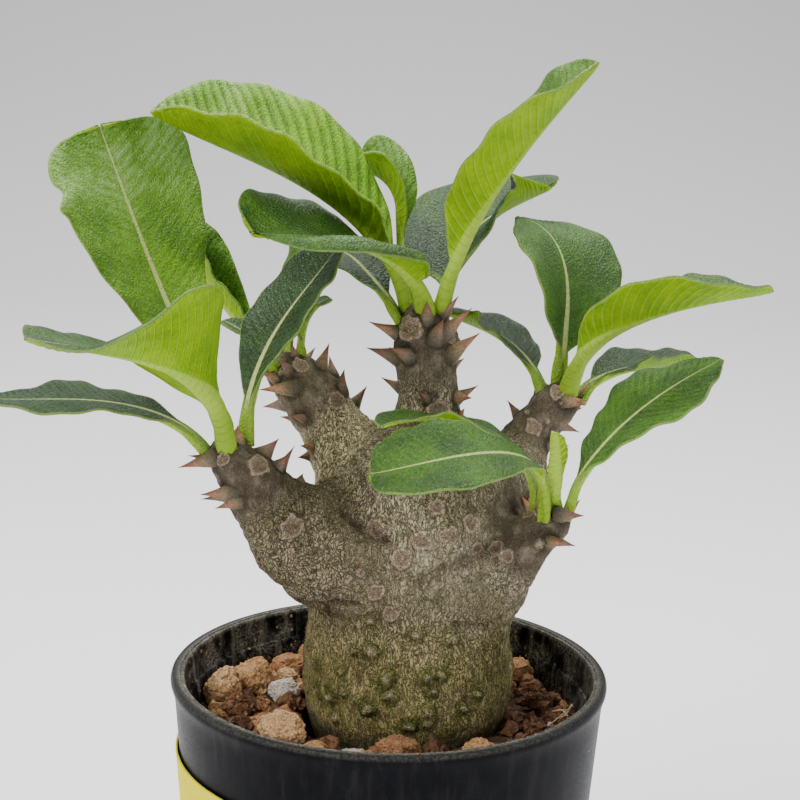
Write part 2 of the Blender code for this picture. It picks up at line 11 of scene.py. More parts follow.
import bpy
import numpy as np
from mathutils import Matrix, Vector, noise
from mathutils.bvhtree import BVHTree


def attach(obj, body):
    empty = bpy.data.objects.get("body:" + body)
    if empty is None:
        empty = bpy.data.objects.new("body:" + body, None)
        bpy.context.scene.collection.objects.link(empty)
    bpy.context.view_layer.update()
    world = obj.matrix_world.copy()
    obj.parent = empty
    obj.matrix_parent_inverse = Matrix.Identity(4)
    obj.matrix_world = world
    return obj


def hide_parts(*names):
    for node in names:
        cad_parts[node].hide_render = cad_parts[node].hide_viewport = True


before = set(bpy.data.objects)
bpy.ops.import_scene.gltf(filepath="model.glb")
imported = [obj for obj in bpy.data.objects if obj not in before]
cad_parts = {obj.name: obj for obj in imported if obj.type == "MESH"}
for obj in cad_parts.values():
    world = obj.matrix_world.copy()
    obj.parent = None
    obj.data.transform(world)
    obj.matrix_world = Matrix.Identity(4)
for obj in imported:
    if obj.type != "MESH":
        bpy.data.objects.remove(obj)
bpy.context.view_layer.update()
bpy.ops.object.select_all(action="DESELECT")

# Camera. It looks a little down at the crown from 300 mm away, through a short telephoto lens,
# and leans about one degree. sight() gives the line through a point of its 800 by 800 picture.
MM = 0.001
VIEW_CENTRE = Vector((0.9, 0.0, 134.6))
VIEW_DISTANCE = 301.6
VIEW_PITCH = math.radians(10.77)
VIEW_ROLL = math.radians(1.4)
VIEW_LENS = 67.5
SENSOR_WIDTH = 36.0
PICTURE_WIDTH = 800
FOCAL_PIXELS = PICTURE_WIDTH * VIEW_LENS / SENSOR_WIDTH

ahead = Vector((0.0, math.cos(VIEW_PITCH), -math.sin(VIEW_PITCH)))
level_up = Vector((0.0, math.sin(VIEW_PITCH), math.cos(VIEW_PITCH)))
picture_right = Vector((1.0, 0.0, 0.0)) * math.cos(VIEW_ROLL) + level_up * math.sin(VIEW_ROLL)
picture_up = level_up * math.cos(VIEW_ROLL) - Vector((1.0, 0.0, 0.0)) * math.sin(VIEW_ROLL)
eye = VIEW_CENTRE - ahead * VIEW_DISTANCE

bpy.ops.object.camera_add()
camera = bpy.context.object
camera.name = "camera"
camera.data.lens = VIEW_LENS
camera.data.clip_start = 0.01
camera.matrix_world = (
    Matrix.Translation(eye * MM)
    @ Matrix((picture_right, picture_up, -ahead)).transposed().to_4x4()
)
bpy.context.scene.camera = camera


def sight(px, py):
    across = (px - PICTURE_WIDTH / 2) / FOCAL_PIXELS
    rise = (PICTURE_WIDTH / 2 - py) / FOCAL_PIXELS
    return (ahead + picture_right * across + picture_up * rise).normalized()


# Nursery pot. One thin moulding of charcoal plastic: a disc is drawn and extruded up the wall, over
# the rim with its fine inner ring and down to the floor, through which six drain holes are cut.
POT_SIDES = 144
POT_PROFILE = [
    (36.8, 0.0), (37.8, 0.3), (38.4, 1.1), (38.7, 2.6), (40.4, 25.0), (42.2, 48.0), (44.0, 71.8),
    (44.15, 73.4), (44.4, 74.9), (44.75, 75.9), (44.95, 76.5), (45.0, 77.0), (44.9, 77.5), (44.6, 77.9),
    (44.1, 78.0), (43.1, 77.95), (42.95, 77.7), (42.75, 77.65), (42.6, 77.85), (42.35, 77.75),
    (42.1, 77.2), (41.95, 76.0), (41.7, 71.9), (41.5, 71.6), (41.1, 71.5), (40.9, 71.1), (40.7, 69.0),
    (38.6, 36.0), (36.6, 3.4), (35.6, 2.4),
]
POT_FLOOR = POT_PROFILE[-1][1]
DRAIN_HOLES = 6
DRAIN_RING = 20.0
DRAIN_RADIUS = 4.0
DRAIN_SIDES = 32
POT_CREASE = 38.0
# The outer wall's radius at the ground, and what it gains for each millimetre of height.
WALL_RADIUS = 38.5
WALL_FLARE = 0.0766


@contextmanager
def editing():
    """Edit mode that starts with everything selected."""
    bpy.ops.object.mode_set(mode="EDIT")
    bpy.ops.mesh.select_all(action="SELECT")
    yield
    bpy.ops.object.mode_set(mode="OBJECT")


def face_outward():
    bpy.ops.mesh.select_all(action="SELECT")
    bpy.ops.mesh.normals_make_consistent(inside=False)


def turned(name, profile, sides, squash=1.0):
    """A disc at the start of the profile, extruded and resized from point to point along it."""
    bpy.ops.mesh.primitive_circle_add(vertices=sides, radius=profile[0][0] * MM, fill_type="NGON")
    piece = bpy.context.object
    piece.name = name
    with editing():
        bpy.ops.transform.translate(value=(0.0, 0.0, profile[0][1] * MM))
        for (radius, height), (next_radius, next_height) in zip(profile, profile[1:]):
            rise = (0.0, 0.0, (next_height - height) * MM)
            size = next_radius / radius
            bpy.ops.mesh.extrude_region_move(TRANSFORM_OT_translate={"value": rise})
            bpy.ops.transform.resize(value=(size, size * squash, 1.0), center_override=(0.0, 0.0, 0.0))
        face_outward()
    settle(piece)
    return piece


def settle(piece):
    """Selects the piece alone and puts its place into its mesh."""
    bpy.ops.object.select_all(action="DESELECT")
    piece.select_set(True)
    bpy.context.view_layer.objects.active = piece
    bpy.ops.object.transform_apply(location=True, rotation=True, scale=True)


def apply_modifier(piece, kind, **settings):
    step = piece.modifiers.new(kind.lower(), kind)
    for key, value in settings.items():
        setattr(step, key, value)
    bpy.context.view_layer.objects.active = piece
    bpy.ops.object.modifier_apply(modifier=step.name)


def join(name, pieces):
    bpy.ops.object.select_all(action="DESELECT")
    for piece in pieces:
        piece.select_set(True)
    bpy.context.view_layer.objects.active = pieces[0]
    bpy.ops.object.join()
    joined = bpy.context.object
    joined.name = name
    settle(joined)
    return joined


def dress(piece, material, crease=None):
    """Gives the piece its material and smooth shading, up to a crease angle if there is one."""
    piece.data.materials.clear()
    piece.data.materials.append(material)
    settle(piece)
    if crease is None:
        bpy.ops.object.shade_smooth()
    else:
        bpy.ops.object.shade_smooth_by_angle(angle=math.radians(crease))


def feed(tree, sockets, inputs):
    """Sets or links inputs by name or number."""
    for key, value in inputs.items():
        if isinstance(value, Wire):
            tree.links.new(value.socket, sockets[key])
        else:
            sockets[key].default_value = value


def add(tree, kind, inputs, out=0, **settings):
    """A shader node with its settings made and its inputs fed. Gives one output, or several."""
    made = tree.nodes.new(kind)
    for key, value in settings.items():
        setattr(made, key, value)
    feed(tree, made.inputs, inputs)
    if isinstance(out, tuple):
        return [Wire(tree, made.outputs[key]) for key in out]
    return Wire(tree, made.outputs[out])


def calc(tree, operation, *values):
    return add(tree, "ShaderNodeMath", dict(enumerate(values)), operation=operation)


class Wire:
    """A value in a shader tree. Each sum, product or step made with it adds a node."""

    def __init__(self, tree, socket):
        self.tree, self.socket = tree, socket

    def __add__(self, other):
        return calc(self.tree, "ADD", self, other)

    def __sub__(self, other):
        return calc(self.tree, "SUBTRACT", self, other)

    def __rsub__(self, other):
        return calc(self.tree, "SUBTRACT", other, self)

    def __mul__(self, other):
        return calc(self.tree, "MULTIPLY", self, other)

    def fade(self, start, end, low=0.0, high=1.0):
        """Runs smoothly from low to high while the value runs from start to end."""
        if start > end:
            start, end, low, high = end, start, high, low
        inputs = {"Value": self, "From Min": start, "From Max": end, "To Min": low, "To Max": high}
        return add(self.tree, "ShaderNodeMapRange", inputs, interpolation_type="SMOOTHSTEP")

    def mix(self, share, over, how="MIX"):
        """This colour with a share of another laid over it."""
        if isinstance(over, tuple):
            over = (*over, 1.0)
        inputs = {0: share, 6: self, 7: over}
        return add(self.tree, "ShaderNodeMix", inputs, 2, data_type="RGBA", blend_type=how)

    def ramp(self, *stops):
        """A colour for the value, from stops that are each a place and red, green and blue."""
        made = self.tree.nodes.new("ShaderNodeValToRGB")
        feed(self.tree, made.inputs, {"Fac": self})
        band = made.color_ramp
        while len(band.elements) < len(stops):
            band.elements.new(0.5)
        for element, (place, *colour) in zip(band.elements, stops):
            element.position = place
            element.color = (*colour, 1.0)
        return Wire(self.tree, made.outputs[0])

    def noise(self, scale, detail=4.0, roughness=0.55):
        """Clouds that read this value as their place."""
        inputs = {"Vector": self, "Scale": scale, "Detail": detail, "Roughness": roughness}
        return add(self.tree, "ShaderNodeTexNoise", inputs)

    def bump(self, strength, depth):
        """Relief of so many millimetres."""
        inputs = {"Height": self, "Strength": strength, "Distance": depth * MM}
        return add(self.tree, "ShaderNodeBump", inputs)


def millimetres(tree, stretch=(1.0, 1.0, 1.0)):
    """Object coordinates in millimetres."""
    place = add(tree, "ShaderNodeTexCoord", {}, "Object")
    scale = tuple(1000.0 * s for s in stretch)
    return add(tree, "ShaderNodeMapping", {"Vector": place, "Scale": scale})


def new_material(name):
    made = bpy.data.materials.new(name)
    made.use_nodes = True
    return made, made.node_tree, made.node_tree.nodes["Principled BSDF"].inputs


def new_group(name, inputs, outputs):
    """A node group with its sockets, its inputs as wires, and the sockets of its outputs."""
    group = bpy.data.node_groups.new(name, "ShaderNodeTree")
    for in_out, sockets in (("INPUT", inputs), ("OUTPUT", outputs)):
        for socket, kind in sockets.items():
            group.interface.new_socket(name=socket, in_out=in_out, socket_type="NodeSocket" + kind)
    given = group.nodes.new("NodeGroupInput").outputs
    result = group.nodes.new("NodeGroupOutput").inputs
    return group, [Wire(group, given[socket]) for socket in inputs], result


def specks_group():
    """Scattered specks of soil or dust: a mask that is 1 on a speck, denser as Amount rises."""
    group, (place, size, amount), result = new_group(
        "scattered_specks", {"Place": "Vector", "Size": "Float", "Amount": "Float"}, {"Mask": "Float"})
    inputs = {"Vector": place, "Scale": calc(group, "DIVIDE", 1.0, size)}
    distance, tint = add(group, "ShaderNodeTexVoronoi", inputs, ("Distance", "Color"))
    chance, reach = add(group, "ShaderNodeSeparateColor", {"Color": tint}, (0, 1))
    chosen = calc(group, "LESS_THAN", chance, amount)
    feed(group, result, {"Mask": chosen * calc(group, "LESS_THAN", distance, reach * 0.42)})
    return group


def grain_group():
    """Fine grain over a colour: darker and lighter by Contrast, with the grain's height."""
    group, (colour, place, scale, contrast), result = new_group(
        "fine_grain", {"Colour": "Color", "Place": "Vector", "Scale": "Float", "Contrast": "Float"},
        {"Colour": "Color", "Height": "Float"})
    height = place.noise(scale, 6.0, 0.75)
    level = height.fade(0.27, 0.73, -1.0, 1.0) * contrast + 1.0
    shaded = add(group, "ShaderNodeVectorMath", {0: colour, "Scale": level}, operation="SCALE")
    feed(group, result, {"Colour": shaded, "Height": height})
    return group


specks = specks_group()
fine_grain = grain_group()


def specks_on(place, size, amount):
    inputs = {"Place": place, "Size": size, "Amount": amount}
    return add(place.tree, "ShaderNodeGroup", inputs, "Mask", node_tree=specks)


def grain_over(colour, place, scale, contrast):
    """The colour with grain over it, and the grain's height."""
    inputs = {"Colour": colour, "Place": place, "Scale": scale, "Contrast": contrast}
    return add(place.tree, "ShaderNodeGroup", inputs, ("Colour", "Height"), node_tree=fine_grain)


def pot_plastic_material():
    made, tree, shader = new_material("pot_plastic")
    place = millimetres(tree)
    x, y, height = add(tree, "ShaderNodeSeparateXYZ", {"Vector": place}, (0, 1, 2))
    depth = height * WALL_FLARE + WALL_RADIUS - calc(tree, "SQRT", x * x + y * y)
    inside = depth.fade(0.8, 1.8)
    cloud = place.noise(0.16, 6.0, 0.65)
    fine = place.noise(1.9, 5.0, 0.7)
    streaks = millimetres(tree, (0.5, 0.5, 0.06)).noise(0.9, 5.0, 0.6)
    film = cloud.fade(0.40, 0.66) * fine.fade(0.38, 0.66) * (inside * 1.2 + 0.012)
    rim = height.fade(76.9, 77.7) * depth.fade(0.2, 1.2, 0.30, 1.0)
    film = film + rim * fine.fade(0.36, 0.66, 0.14, 0.66)
    run = streaks.fade(0.48, 0.70) * (inside * 0.36 + 0.03)
    film = calc(tree, "MINIMUM", film + run, 0.9)
    soil = specks_on(place, 1.1, inside * 0.16 + 0.006)
    grey = cloud.ramp((0.3, 0.0020, 0.0022, 0.0036), (0.7, 0.0042, 0.0046, 0.0066))
    dusty = grey.mix(film, (0.240, 0.228, 0.195))
    relief = fine * 0.5 + soil * 1.4
    feed(tree, shader, {
        "Base Color": dusty.mix(soil, (0.36, 0.25, 0.14)),
        "Roughness": fine.fade(0.3, 0.7, 0.30, 0.44) + calc(tree, "MAXIMUM", film, soil) * 0.45,
        "Specular IOR Level": 0.05, "Normal": relief.bump(0.35, 0.10)})
    return made


pot = turned("nursery_pot", POT_PROFILE, POT_SIDES)
drills = []
for k in range(DRAIN_HOLES):
    turn = 2 * math.pi * k / DRAIN_HOLES
    bpy.ops.mesh.primitive_cylinder_add(
        vertices=DRAIN_SIDES, radius=DRAIN_RADIUS * MM, depth=4 * POT_FLOOR * MM,
        location=(DRAIN_RING * math.cos(turn) * MM, DRAIN_RING * math.sin(turn) * MM, 0.0))
    drills.append(bpy.context.object)
drill = join("drain_drills", drills)
apply_modifier(pot, "BOOLEAN", operation="DIFFERENCE", object=drill, solver="EXACT")
bpy.data.objects.remove(drill)
dress(pot, pot_plastic_material(), POT_CREASE)
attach(pot, "root")
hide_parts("pot")

# Sticker. A strip of yellow paper wrapped round the left of the pot, a hair off its wall. It is a
# grid bent to the wall's cone, with its two ends slightly lifted, and then thickened.
LABEL_BEARINGS = (158.0, 228.0)
LABEL_HEIGHTS = (39.0, 62.5)
LABEL_CLEARANCE = 0.4
LABEL_THICKNESS = 0.35
LABEL_COLUMNS = 64
LABEL_ROWS = 10
LABEL_RIPPLE = 0.12
LABEL_CURL = 0.25
LABEL_CREASE = 40.0
WALL_FOOT, WALL_TOP = POT_PROFILE[3], POT_PROFILE[6]


def label_paper_material():
    made, tree, shader = new_material("label_paper")
    place = millimetres(tree)
    fibres = millimetres(tree, (1.0, 1.0, 0.35)).noise(4.0, 5.0, 0.7)
    paper = place.noise(0.12).ramp((0.3, 0.68, 0.58, 0.002), (0.7, 0.76, 0.66, 0.006))
    faded = paper.mix(fibres.fade(0.5, 0.8, 0.0, 0.12), (0.85, 0.78, 0.20))
    feed(tree, shader, {
        "Base Color": faded.mix(specks_on(place, 1.4, 0.035), (0.30, 0.22, 0.10)),
        "Roughness": fibres.fade(0.3, 0.7, 0.62, 0.8),
        "Specular IOR Level": 0.08, "Normal": fibres.bump(0.25, 0.06)})
    return made


bpy.ops.mesh.primitive_grid_add(x_subdivisions=LABEL_COLUMNS, y_subdivisions=LABEL_ROWS, size=1.0)
label = bpy.context.object
label.name = "yellow_sticker"
slope = (WALL_TOP[0] - WALL_FOOT[0]) / (WALL_TOP[1] - WALL_FOOT[1])
for vertex in label.data.vertices:
    along, up = vertex.co.x + 0.5, vertex.co.y + 0.5
    bearing = math.radians(LABEL_BEARINGS[0] + (LABEL_BEARINGS[1] - LABEL_BEARINGS[0]) * along)
    height = LABEL_HEIGHTS[0] + (LABEL_HEIGHTS[1] - LABEL_HEIGHTS[0]) * up
    edge = max(0.0, 1.0 - 14.0 * min(along, 1 - along))
    lift = LABEL_RIPPLE * noise.noise(Vector((9 * along, 5 * up, 3.0))) + LABEL_CURL * edge ** 2
    radius = WALL_FOOT[0] + (height - WALL_FOOT[1]) * slope + LABEL_CLEARANCE + lift
    vertex.co = Vector((radius * math.cos(bearing), radius * math.sin(bearing), height)) * MM
apply_modifier(label, "SOLIDIFY", thickness=LABEL_THICKNESS * MM, offset=1.0)
with editing():
    face_outward()
dress(label, label_paper_material(), LABEL_CREASE)
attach(label, "root")
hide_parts("pot_label")

# Pot filling. Pumice and baked clay granules lie on a darker, crumbly bed, larger ones on top.
# Eight stones are cut from balls and roughened, then copied to their places and fused to the bed.
BED_LEVEL = 66.4
BED_RADIUS = 40.2
BED_PROFILE = [(35.0, 2.7), (36.3, 4.0), (BED_RADIUS, BED_LEVEL)]
BED_SIDES = 120
# Widths of the rings that the bed's face is divided into, from the wall to the trunk.
BED_RINGS = (2.0, 2.2, 2.4, 2.6, 2.8, 3.0, 3.2, 3.4)
BED_TONE = 0.03
TRUNK_CENTRE = (3.8, 4.5)
TRUNK_HOLE = 22.4
STONE_RADIUS = 5.0
STONE_KINDS = 8
STONE_FLATS = 7
# The least and the most distance of a flat from the middle, as a share of the radius.
STONE_CUTS = (0.66, 0.88)
STONE_VOXEL = 0.3
STONE_CREASE = 28.0
# Triangles of a granule, and of a crumb that is repeated hundreds of times.
STONE_FACES = 3600
CRUMB_FACES = 60
# How far a crumb's corners stand out or in, as a share of its radius, and their spread per mm.
CRUMB_JAG = 0.75
CRUMB_JAG_SCALE = 0.55
# Granules that the eye picks out: x, y, half width, half depth, half height, turn, tone.
KEY_GRANULES = [
    (-35.2, 8.1, 4.0, 3.9, 4.4, 10, 0.60), (-29.6, 14.4, 4.1, 3.8, 4.5, -15, 0.52),
    (-31.6, 19.6, 2.4, 2.4, 2.4, 0, 0.40), (-23.0, 26.0, 4.1, 2.8, 2.5, 20, 0.45),
    (-23.1, 18.9, 2.8, 2.4, 2.1, 0, 0.60), (-22.6, 10.5, 3.4, 3.0, 2.8, -10, 0.95),
    (-19.8, 33.5, 1.8, 1.7, 2.2, 0, 0.48), (-20.8, 2.3, 2.7, 2.4, 2.5, 0, 0.22),
    (-26.1, 1.8, 1.9, 1.8, 2.0, 0, 0.33), (-31.4, -0.6, 3.8, 3.0, 2.8, 15, 0.17),
    (-29.8, -9.0, 2.6, 2.3, 2.4, 0, 0.14), (-35.6, -4.6, 1.9, 1.8, 1.6, 0, 0.30),
    (-21.6, -12.0, 5.4, 3.8, 3.8, -35, 0.60), (-14.2, -19.4, 2.4, 2.1, 1.9, 0, 0.50),
    (-19.8, -5.7, 2.1, 2.0, 1.9, 0, 0.28), (-6.6, -21.6, 2.5, 2.1, 1.8, 0, 0.93),
    (2.1, -20.6, 4.3, 3.0, 3.0, 5, 0.42), (18.6, -19.0, 3.7, 2.7, 2.6, 0, 0.53),
    (28.6, 23.6, 3.5, 3.0, 3.2, 20, 0.50), (32.6, 6.8, 4.0, 3.0, 2.9, 0, 0.17),
    (36.9, 7.4, 1.6, 1.5, 1.4, 0, 0.48), (26.9, -3.4, 2.4, 2.2, 2.2, 0, 0.12),
    (29.9, -7.2, 2.3, 2.1, 2.2, 0, 0.14), (33.2, -6.1, 0.9, 0.8, 1.7, 30, 0.97),
    (35.0, -1.2, 2.4, 2.1, 2.0, 0, 0.16), (28.2, -14.0, 5.0, 2.3, 1.8, 28, 0.18),
    (22.0, 30.0, 3.2, 2.8, 2.6, 0, 0.45), (12.0, 34.5, 3.0, 2.6, 2.6, 30, 0.58),
    (1.0, 35.0, 3.6, 2.8, 2.8, 0, 0.50), (-10.0, 34.0, 2.8, 2.6, 2.4, 0, 0.92),
    (9.8, -24.2, 2.4, 2.1, 1.9, 0, 0.30), (-2.5, -30.0, 3.0, 2.4, 2.2, 0, 0.45),
    (-12.5, -27.5, 3.2, 2.7, 2.4, 0, 0.35), (9.0, -32.5, 3.2, 2.6, 2.4, 15, 0.58),
    (20.0, -27.5, 2.8, 2.4, 2.2, 0, 0.30), (-22.5, -22.5, 3.0, 2.5, 2.3, 0, 0.52),
]
# Clods darker than this tone are heaps of crumbs.
CRUMBLY_BELOW = 0.345
CRUMBS_ON_CLOD = 16
CLOD_SWELL = 0.8
GRANULE_SWELL = 1.08
# How high a granule lies on the bed and how far out its crumbs lie, as shares of its half height
# and its radius.
GRANULE_RISE = 0.62
CRUMB_REACH = 0.74
CRUMB_SIZES = (0.7, 1.35)
FILL_GRANULES = 420
FILL_REACH = 39.3
FILL_SEED = 5
FILL_SIZES = (0.8, 1.0, 1.3, 1.6, 2.0)
# Tones of the small granules, at the right front and elsewhere.
RUDDY_TONES = (0.06, 0.10, 0.14, 0.18, 0.24)
MIXED_TONES = (0.12, 0.2, 0.3, 0.42, 0.55)


def own_copy(model):
    """A copy of the model with its own mesh."""
    copy = model.copy()
    copy.data = model.data.copy()
    bpy.context.scene.collection.objects.link(copy)
    return copy


def put_mark(piece, name, values):
    """Gives each point of a piece a named value, its own or one for all."""
    mark = piece.data.attributes.new(name, "FLOAT", "POINT")
    mark.data.foreach_set("value", np.full(len(mark.data), values, np.float32))


def pick(parts, chosen):
    """Goes into edit mode with only the chosen faces or edges selected."""
    bpy.ops.object.mode_set(mode="EDIT")
    bpy.ops.mesh.select_all(action="DESELECT")
    bpy.ops.object.mode_set(mode="OBJECT")
    for part in parts:
        part.select = chosen(part)
    bpy.ops.object.mode_set(mode="EDIT")


def thin_out(piece, faces):
    """Fewer triangles, with the form kept."""
    triangles = sum(len(face.vertices) - 2 for face in piece.data.polygons)
    apply_modifier(piece, "DECIMATE", ratio=min(1.0, faces / triangles))


def cut_stone(seed):
    """A ball with flats cut off it, melted together again and roughened."""
    draw = random.Random(seed)
    bpy.ops.mesh.primitive_ico_sphere_add(subdivisions=3, radius=STONE_RADIUS * MM)
    stone = bpy.context.object
    with editing():
        for _ in range(STONE_FLATS):
            facing = Vector((draw.gauss(0, 1), draw.gauss(0, 1), draw.gauss(0, 1))).normalized()
            depth = draw.uniform(*STONE_CUTS) * STONE_RADIUS * MM
            bpy.ops.mesh.select_all(action="SELECT")
            bpy.ops.mesh.bisect(plane_co=facing * depth, plane_no=facing, use_fill=True, clear_outer=True)
    apply_modifier(stone, "REMESH", mode="VOXEL", voxel_size=STONE_VOXEL * MM)
    apply_modifier(stone, "SMOOTH", factor=0.6, iterations=5)
    for name, scale, depth, strength in (("stone_lumps", 2.6, 2, 1.7), ("stone_pits", 0.75, 3, 1.15)):
        texture = bpy.data.textures.new(name, "CLOUDS")
        texture.noise_scale = scale * MM
        texture.noise_depth = depth
        apply_modifier(stone, "DISPLACE", texture=texture, strength=strength * MM, mid_level=0.5)
    thin_out(stone, STONE_FACES)
    return stone


def place_copy(model, size, turn, place, tone):
    """A copy stretched, turned, set down and given its tone."""
    copy = own_copy(model)
    roll = Matrix.Rotation(draw.uniform(0, 2 * math.pi), 4, "X")
    spin = Matrix.Rotation(draw.uniform(0, 2 * math.pi), 4, "Z")
    stretch = Matrix.Diagonal((*(s / STONE_RADIUS for s in size), 1.0))
    upright = Matrix.Rotation(math.radians(turn), 4, "Z")
    copy.data.transform(Matrix.Translation(Vector(place) * MM) @ upright @ stretch @ spin @ roll)
    put_mark(copy, "tone", tone)
    return copy


def mark_on(tree, name):
    return add(tree, "ShaderNodeAttribute", {}, "Fac", attribute_name=name)


def granule_material():
    made, tree, shader = new_material("pumice_soil")
    place = millimetres(tree)
    cloud = place.noise(0.55, 5.0, 0.65)
    pores = add(tree, "ShaderNodeTexVoronoi", {"Vector": place, "Scale": 1.7}, "Distance")
    hollow = pores.fade(0.30, 0.08)
    body = (mark_on(tree, "tone") + cloud.fade(0.25, 0.75, -0.10, 0.10)).ramp(
        (0.0, 0.050, 0.026, 0.017), (0.15, 0.160, 0.078, 0.042), (0.34, 0.29, 0.145, 0.072),
        (0.47, 0.48, 0.250, 0.115), (0.60, 0.68, 0.42, 0.210), (0.80, 0.68, 0.50, 0.32),
        (0.93, 0.63, 0.56, 0.49), (1.0, 0.72, 0.67, 0.61))
    ruddy = body.mix(cloud.fade(0.52, 0.75, 0.0, 0.55), (0.30, 0.13, 0.06))
    shaded = ruddy.mix(hollow * 0.62, (0.05, 0.028, 0.018))
    colour, grain = grain_over(shaded, place, 2.4, 0.48)
    relief = grain * 1.4 - hollow * 0.8
    feed(tree, shader, {
        "Base Color": colour, "Roughness": grain.fade(0.3, 0.7, 0.82, 0.98),
        "Specular IOR Level": 0.20, "Normal": relief.bump(0.9, 0.50)})
    return made


bed = turned("soil_bed", BED_PROFILE, BED_SIDES)
pick(bed.data.polygons, lambda face: face.normal.z > 0.9)
for width in BED_RINGS:
    bpy.ops.mesh.inset(thickness=width * MM)
bpy.ops.mesh.delete(type="FACE")
bpy.ops.object.mode_set(mode="OBJECT")
for vertex in bed.data.vertices:
    if vertex.co.z > (BED_LEVEL - 0.5) * MM:
        place = vertex.co / MM
        vertex.co.z += (1.3 * noise.noise(place * 0.22) + 0.8 * noise.noise(place * 0.7)) * MM
put_mark(bed, "tone", BED_TONE)

stones = [cut_stone(seed) for seed in range(STONE_KINDS)]
crumbs = [own_copy(stone) for stone in stones]
for crumb in crumbs:
    thin_out(crumb, CRUMB_FACES)
    for vertex in crumb.data.vertices:
        vertex.co *= 1.0 + CRUMB_JAG * noise.noise(vertex.co / MM * CRUMB_JAG_SCALE)
granules = []
draw = random.Random(FILL_SEED)
for k, (x, y, wide, deep, high, turn, tone) in enumerate(KEY_GRANULES):
    crumbly = tone < CRUMBLY_BELOW
    swell = CLOD_SWELL if crumbly else GRANULE_SWELL
    place = (x, y, BED_LEVEL + GRANULE_RISE * high)
    size = (wide * swell, deep * swell, high * swell)
    granules.append(place_copy(stones[k % STONE_KINDS], size, turn, place, tone))
    for _ in range(CRUMBS_ON_CLOD if crumbly else 0):
        way = Vector((draw.gauss(0, 1), draw.gauss(0, 1), abs(draw.gauss(0, 1)))).normalized()
        spot = Vector(place) + Vector((way.x * wide, way.y * deep, way.z * high)) * CRUMB_REACH
        sizes = [draw.uniform(*CRUMB_SIZES) for _ in range(3)]
        clod = crumbs[draw.randrange(STONE_KINDS)]
        granules.append(place_copy(clod, sizes, 0.0, spot, tone + draw.uniform(-0.05, 0.05)))
for k in range(FILL_GRANULES):
    bearing = draw.uniform(0, 2 * math.pi)
    reach = FILL_REACH * math.sqrt(draw.uniform(0.24, 1.0))
    size = draw.choice(FILL_SIZES)
    x, y = reach * math.cos(bearing), reach * math.sin(bearing)
    clear = math.hypot(x - TRUNK_CENTRE[0], y - TRUNK_CENTRE[1]) - TRUNK_HOLE
    if clear < 0.2 * size or reach > BED_RADIUS - size:
        continue
    tone = draw.choice(RUDDY_TONES if x > 18 and y < 18 else MIXED_TONES)
    sizes = [size * draw.uniform(0.8, 1.2) for _ in range(3)]
    place = (x, y, BED_LEVEL + draw.uniform(0.1, 0.7) * size)
    granules.append(place_copy(crumbs[k % STONE_KINDS], sizes, 0.0, place, tone))
for model in stones + crumbs:
    bpy.data.objects.remove(model)
filling = join("pot_filling", [bed] + granules)
dress(filling, granule_material(), STONE_CREASE)
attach(filling, "root")
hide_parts("substrate")

# Trunk and branches. The swollen stem of the living plant: balls and cones along each limb are
# melted into one skin, then folded, warted and scarred. Last comes the bark's own fine net.
TRUNK_FOOT = [(19.4, 61.0), (20.9, 67.0), (21.9, 72.5), (22.3, 78.0)]
# Limbs as chains of (x, y, z, radius).
LIMBS = {
    "trunk": [
        (3.8, 4.5, 78.0, 22.0), (4.2, 4.5, 87.0, 21.0), (5.0, 4.5, 93.5, 21.6),
        (5.6, 4.2, 102.0, 22.6), (6.4, 4.2, 110.0, 21.6), (6.6, 4.5, 115.0, 16.6),
    ],
    "front_left": [
        (-3.4, -3.0, 102.0, 15.0), (-12.4, -6.0, 105.5, 12.4), (-18.3, -9.0, 108.6, 10.2),
        (-25.0, -12.0, 116.3, 6.9), (-28.6, -13.6, 121.5, 5.7), (-31.5, -14.0, 125.0, 4.4),
    ],
    "back_left": [
        (-4.4, 5.0, 114.6, 11.8), (-9.8, 9.0, 121.6, 8.2), (-13.9, 12.0, 127.4, 6.6),
        (-17.1, 12.0, 132.3, 6.3), (-20.6, 12.0, 136.2, 5.5), (-23.0, 12.0, 137.6, 4.4),
    ],
    "centre": [
        (7.0, 4.5, 120.0, 10.2), (6.6, 5.0, 128.5, 7.4), (6.4, 5.0, 134.2, 6.2),
        (6.2, 5.0, 140.0, 6.2), (5.8, 5.0, 145.5, 6.3), (5.5, 5.0, 149.0, 5.3),
    ],
    "back_right": [
        (20.0, 6.0, 111.5, 10.4), (24.6, 9.0, 118.5, 7.3), (26.8, 12.0, 123.8, 5.2),
        (29.2, 13.0, 127.5, 4.6), (32.8, 13.0, 131.2, 4.8), (34.5, 13.0, 132.6, 4.2),
    ],
    "front_right": [
        (16.0, -2.5, 99.0, 12.4), (20.6, -7.5, 103.8, 8.8), (24.8, -10.6, 107.8, 6.0),
        (28.4, -12.6, 111.0, 4.3), (31.0, -13.0, 113.0, 3.5),
    ],
}
SKIN_VOXEL = 0.5
SKIN_SMOOTHING = 42
GOLDEN_ANGLE = 137.508
# Shares that spread a run of places evenly, and the trunk's upright axis.
GOLDEN_SHARES = (0.618034, 0.381966)
TRUNK_AXIS = (4.5, 4.4)
# Round scars of fallen leaves, by their place in the picture: across, down, radius.
SEEN_SCARS = [
    (377, 528, 2.0), (402, 558, 2.0), (421, 541, 1.9), (376, 591, 1.7), (391, 613, 1.6),
    (497, 548, 1.5), (507, 556, 1.5), (292, 527, 2.2), (258, 466, 2.1), (246, 436, 1.6),
    (301, 365, 1.7), (337, 401, 1.9), (411, 329, 2.4), (450, 337, 1.6), (438, 412, 2.4),
    (557, 393, 1.6), (534, 427, 1.7), (531, 516, 1.3), (542, 515, 1.3), (449, 535, 1.7),
    (470, 523, 1.7), (437, 507, 1.5), (396, 364, 1.2), (361, 572, 0.9), (476, 548, 1.3),
    (224, 459, 1.3),
]
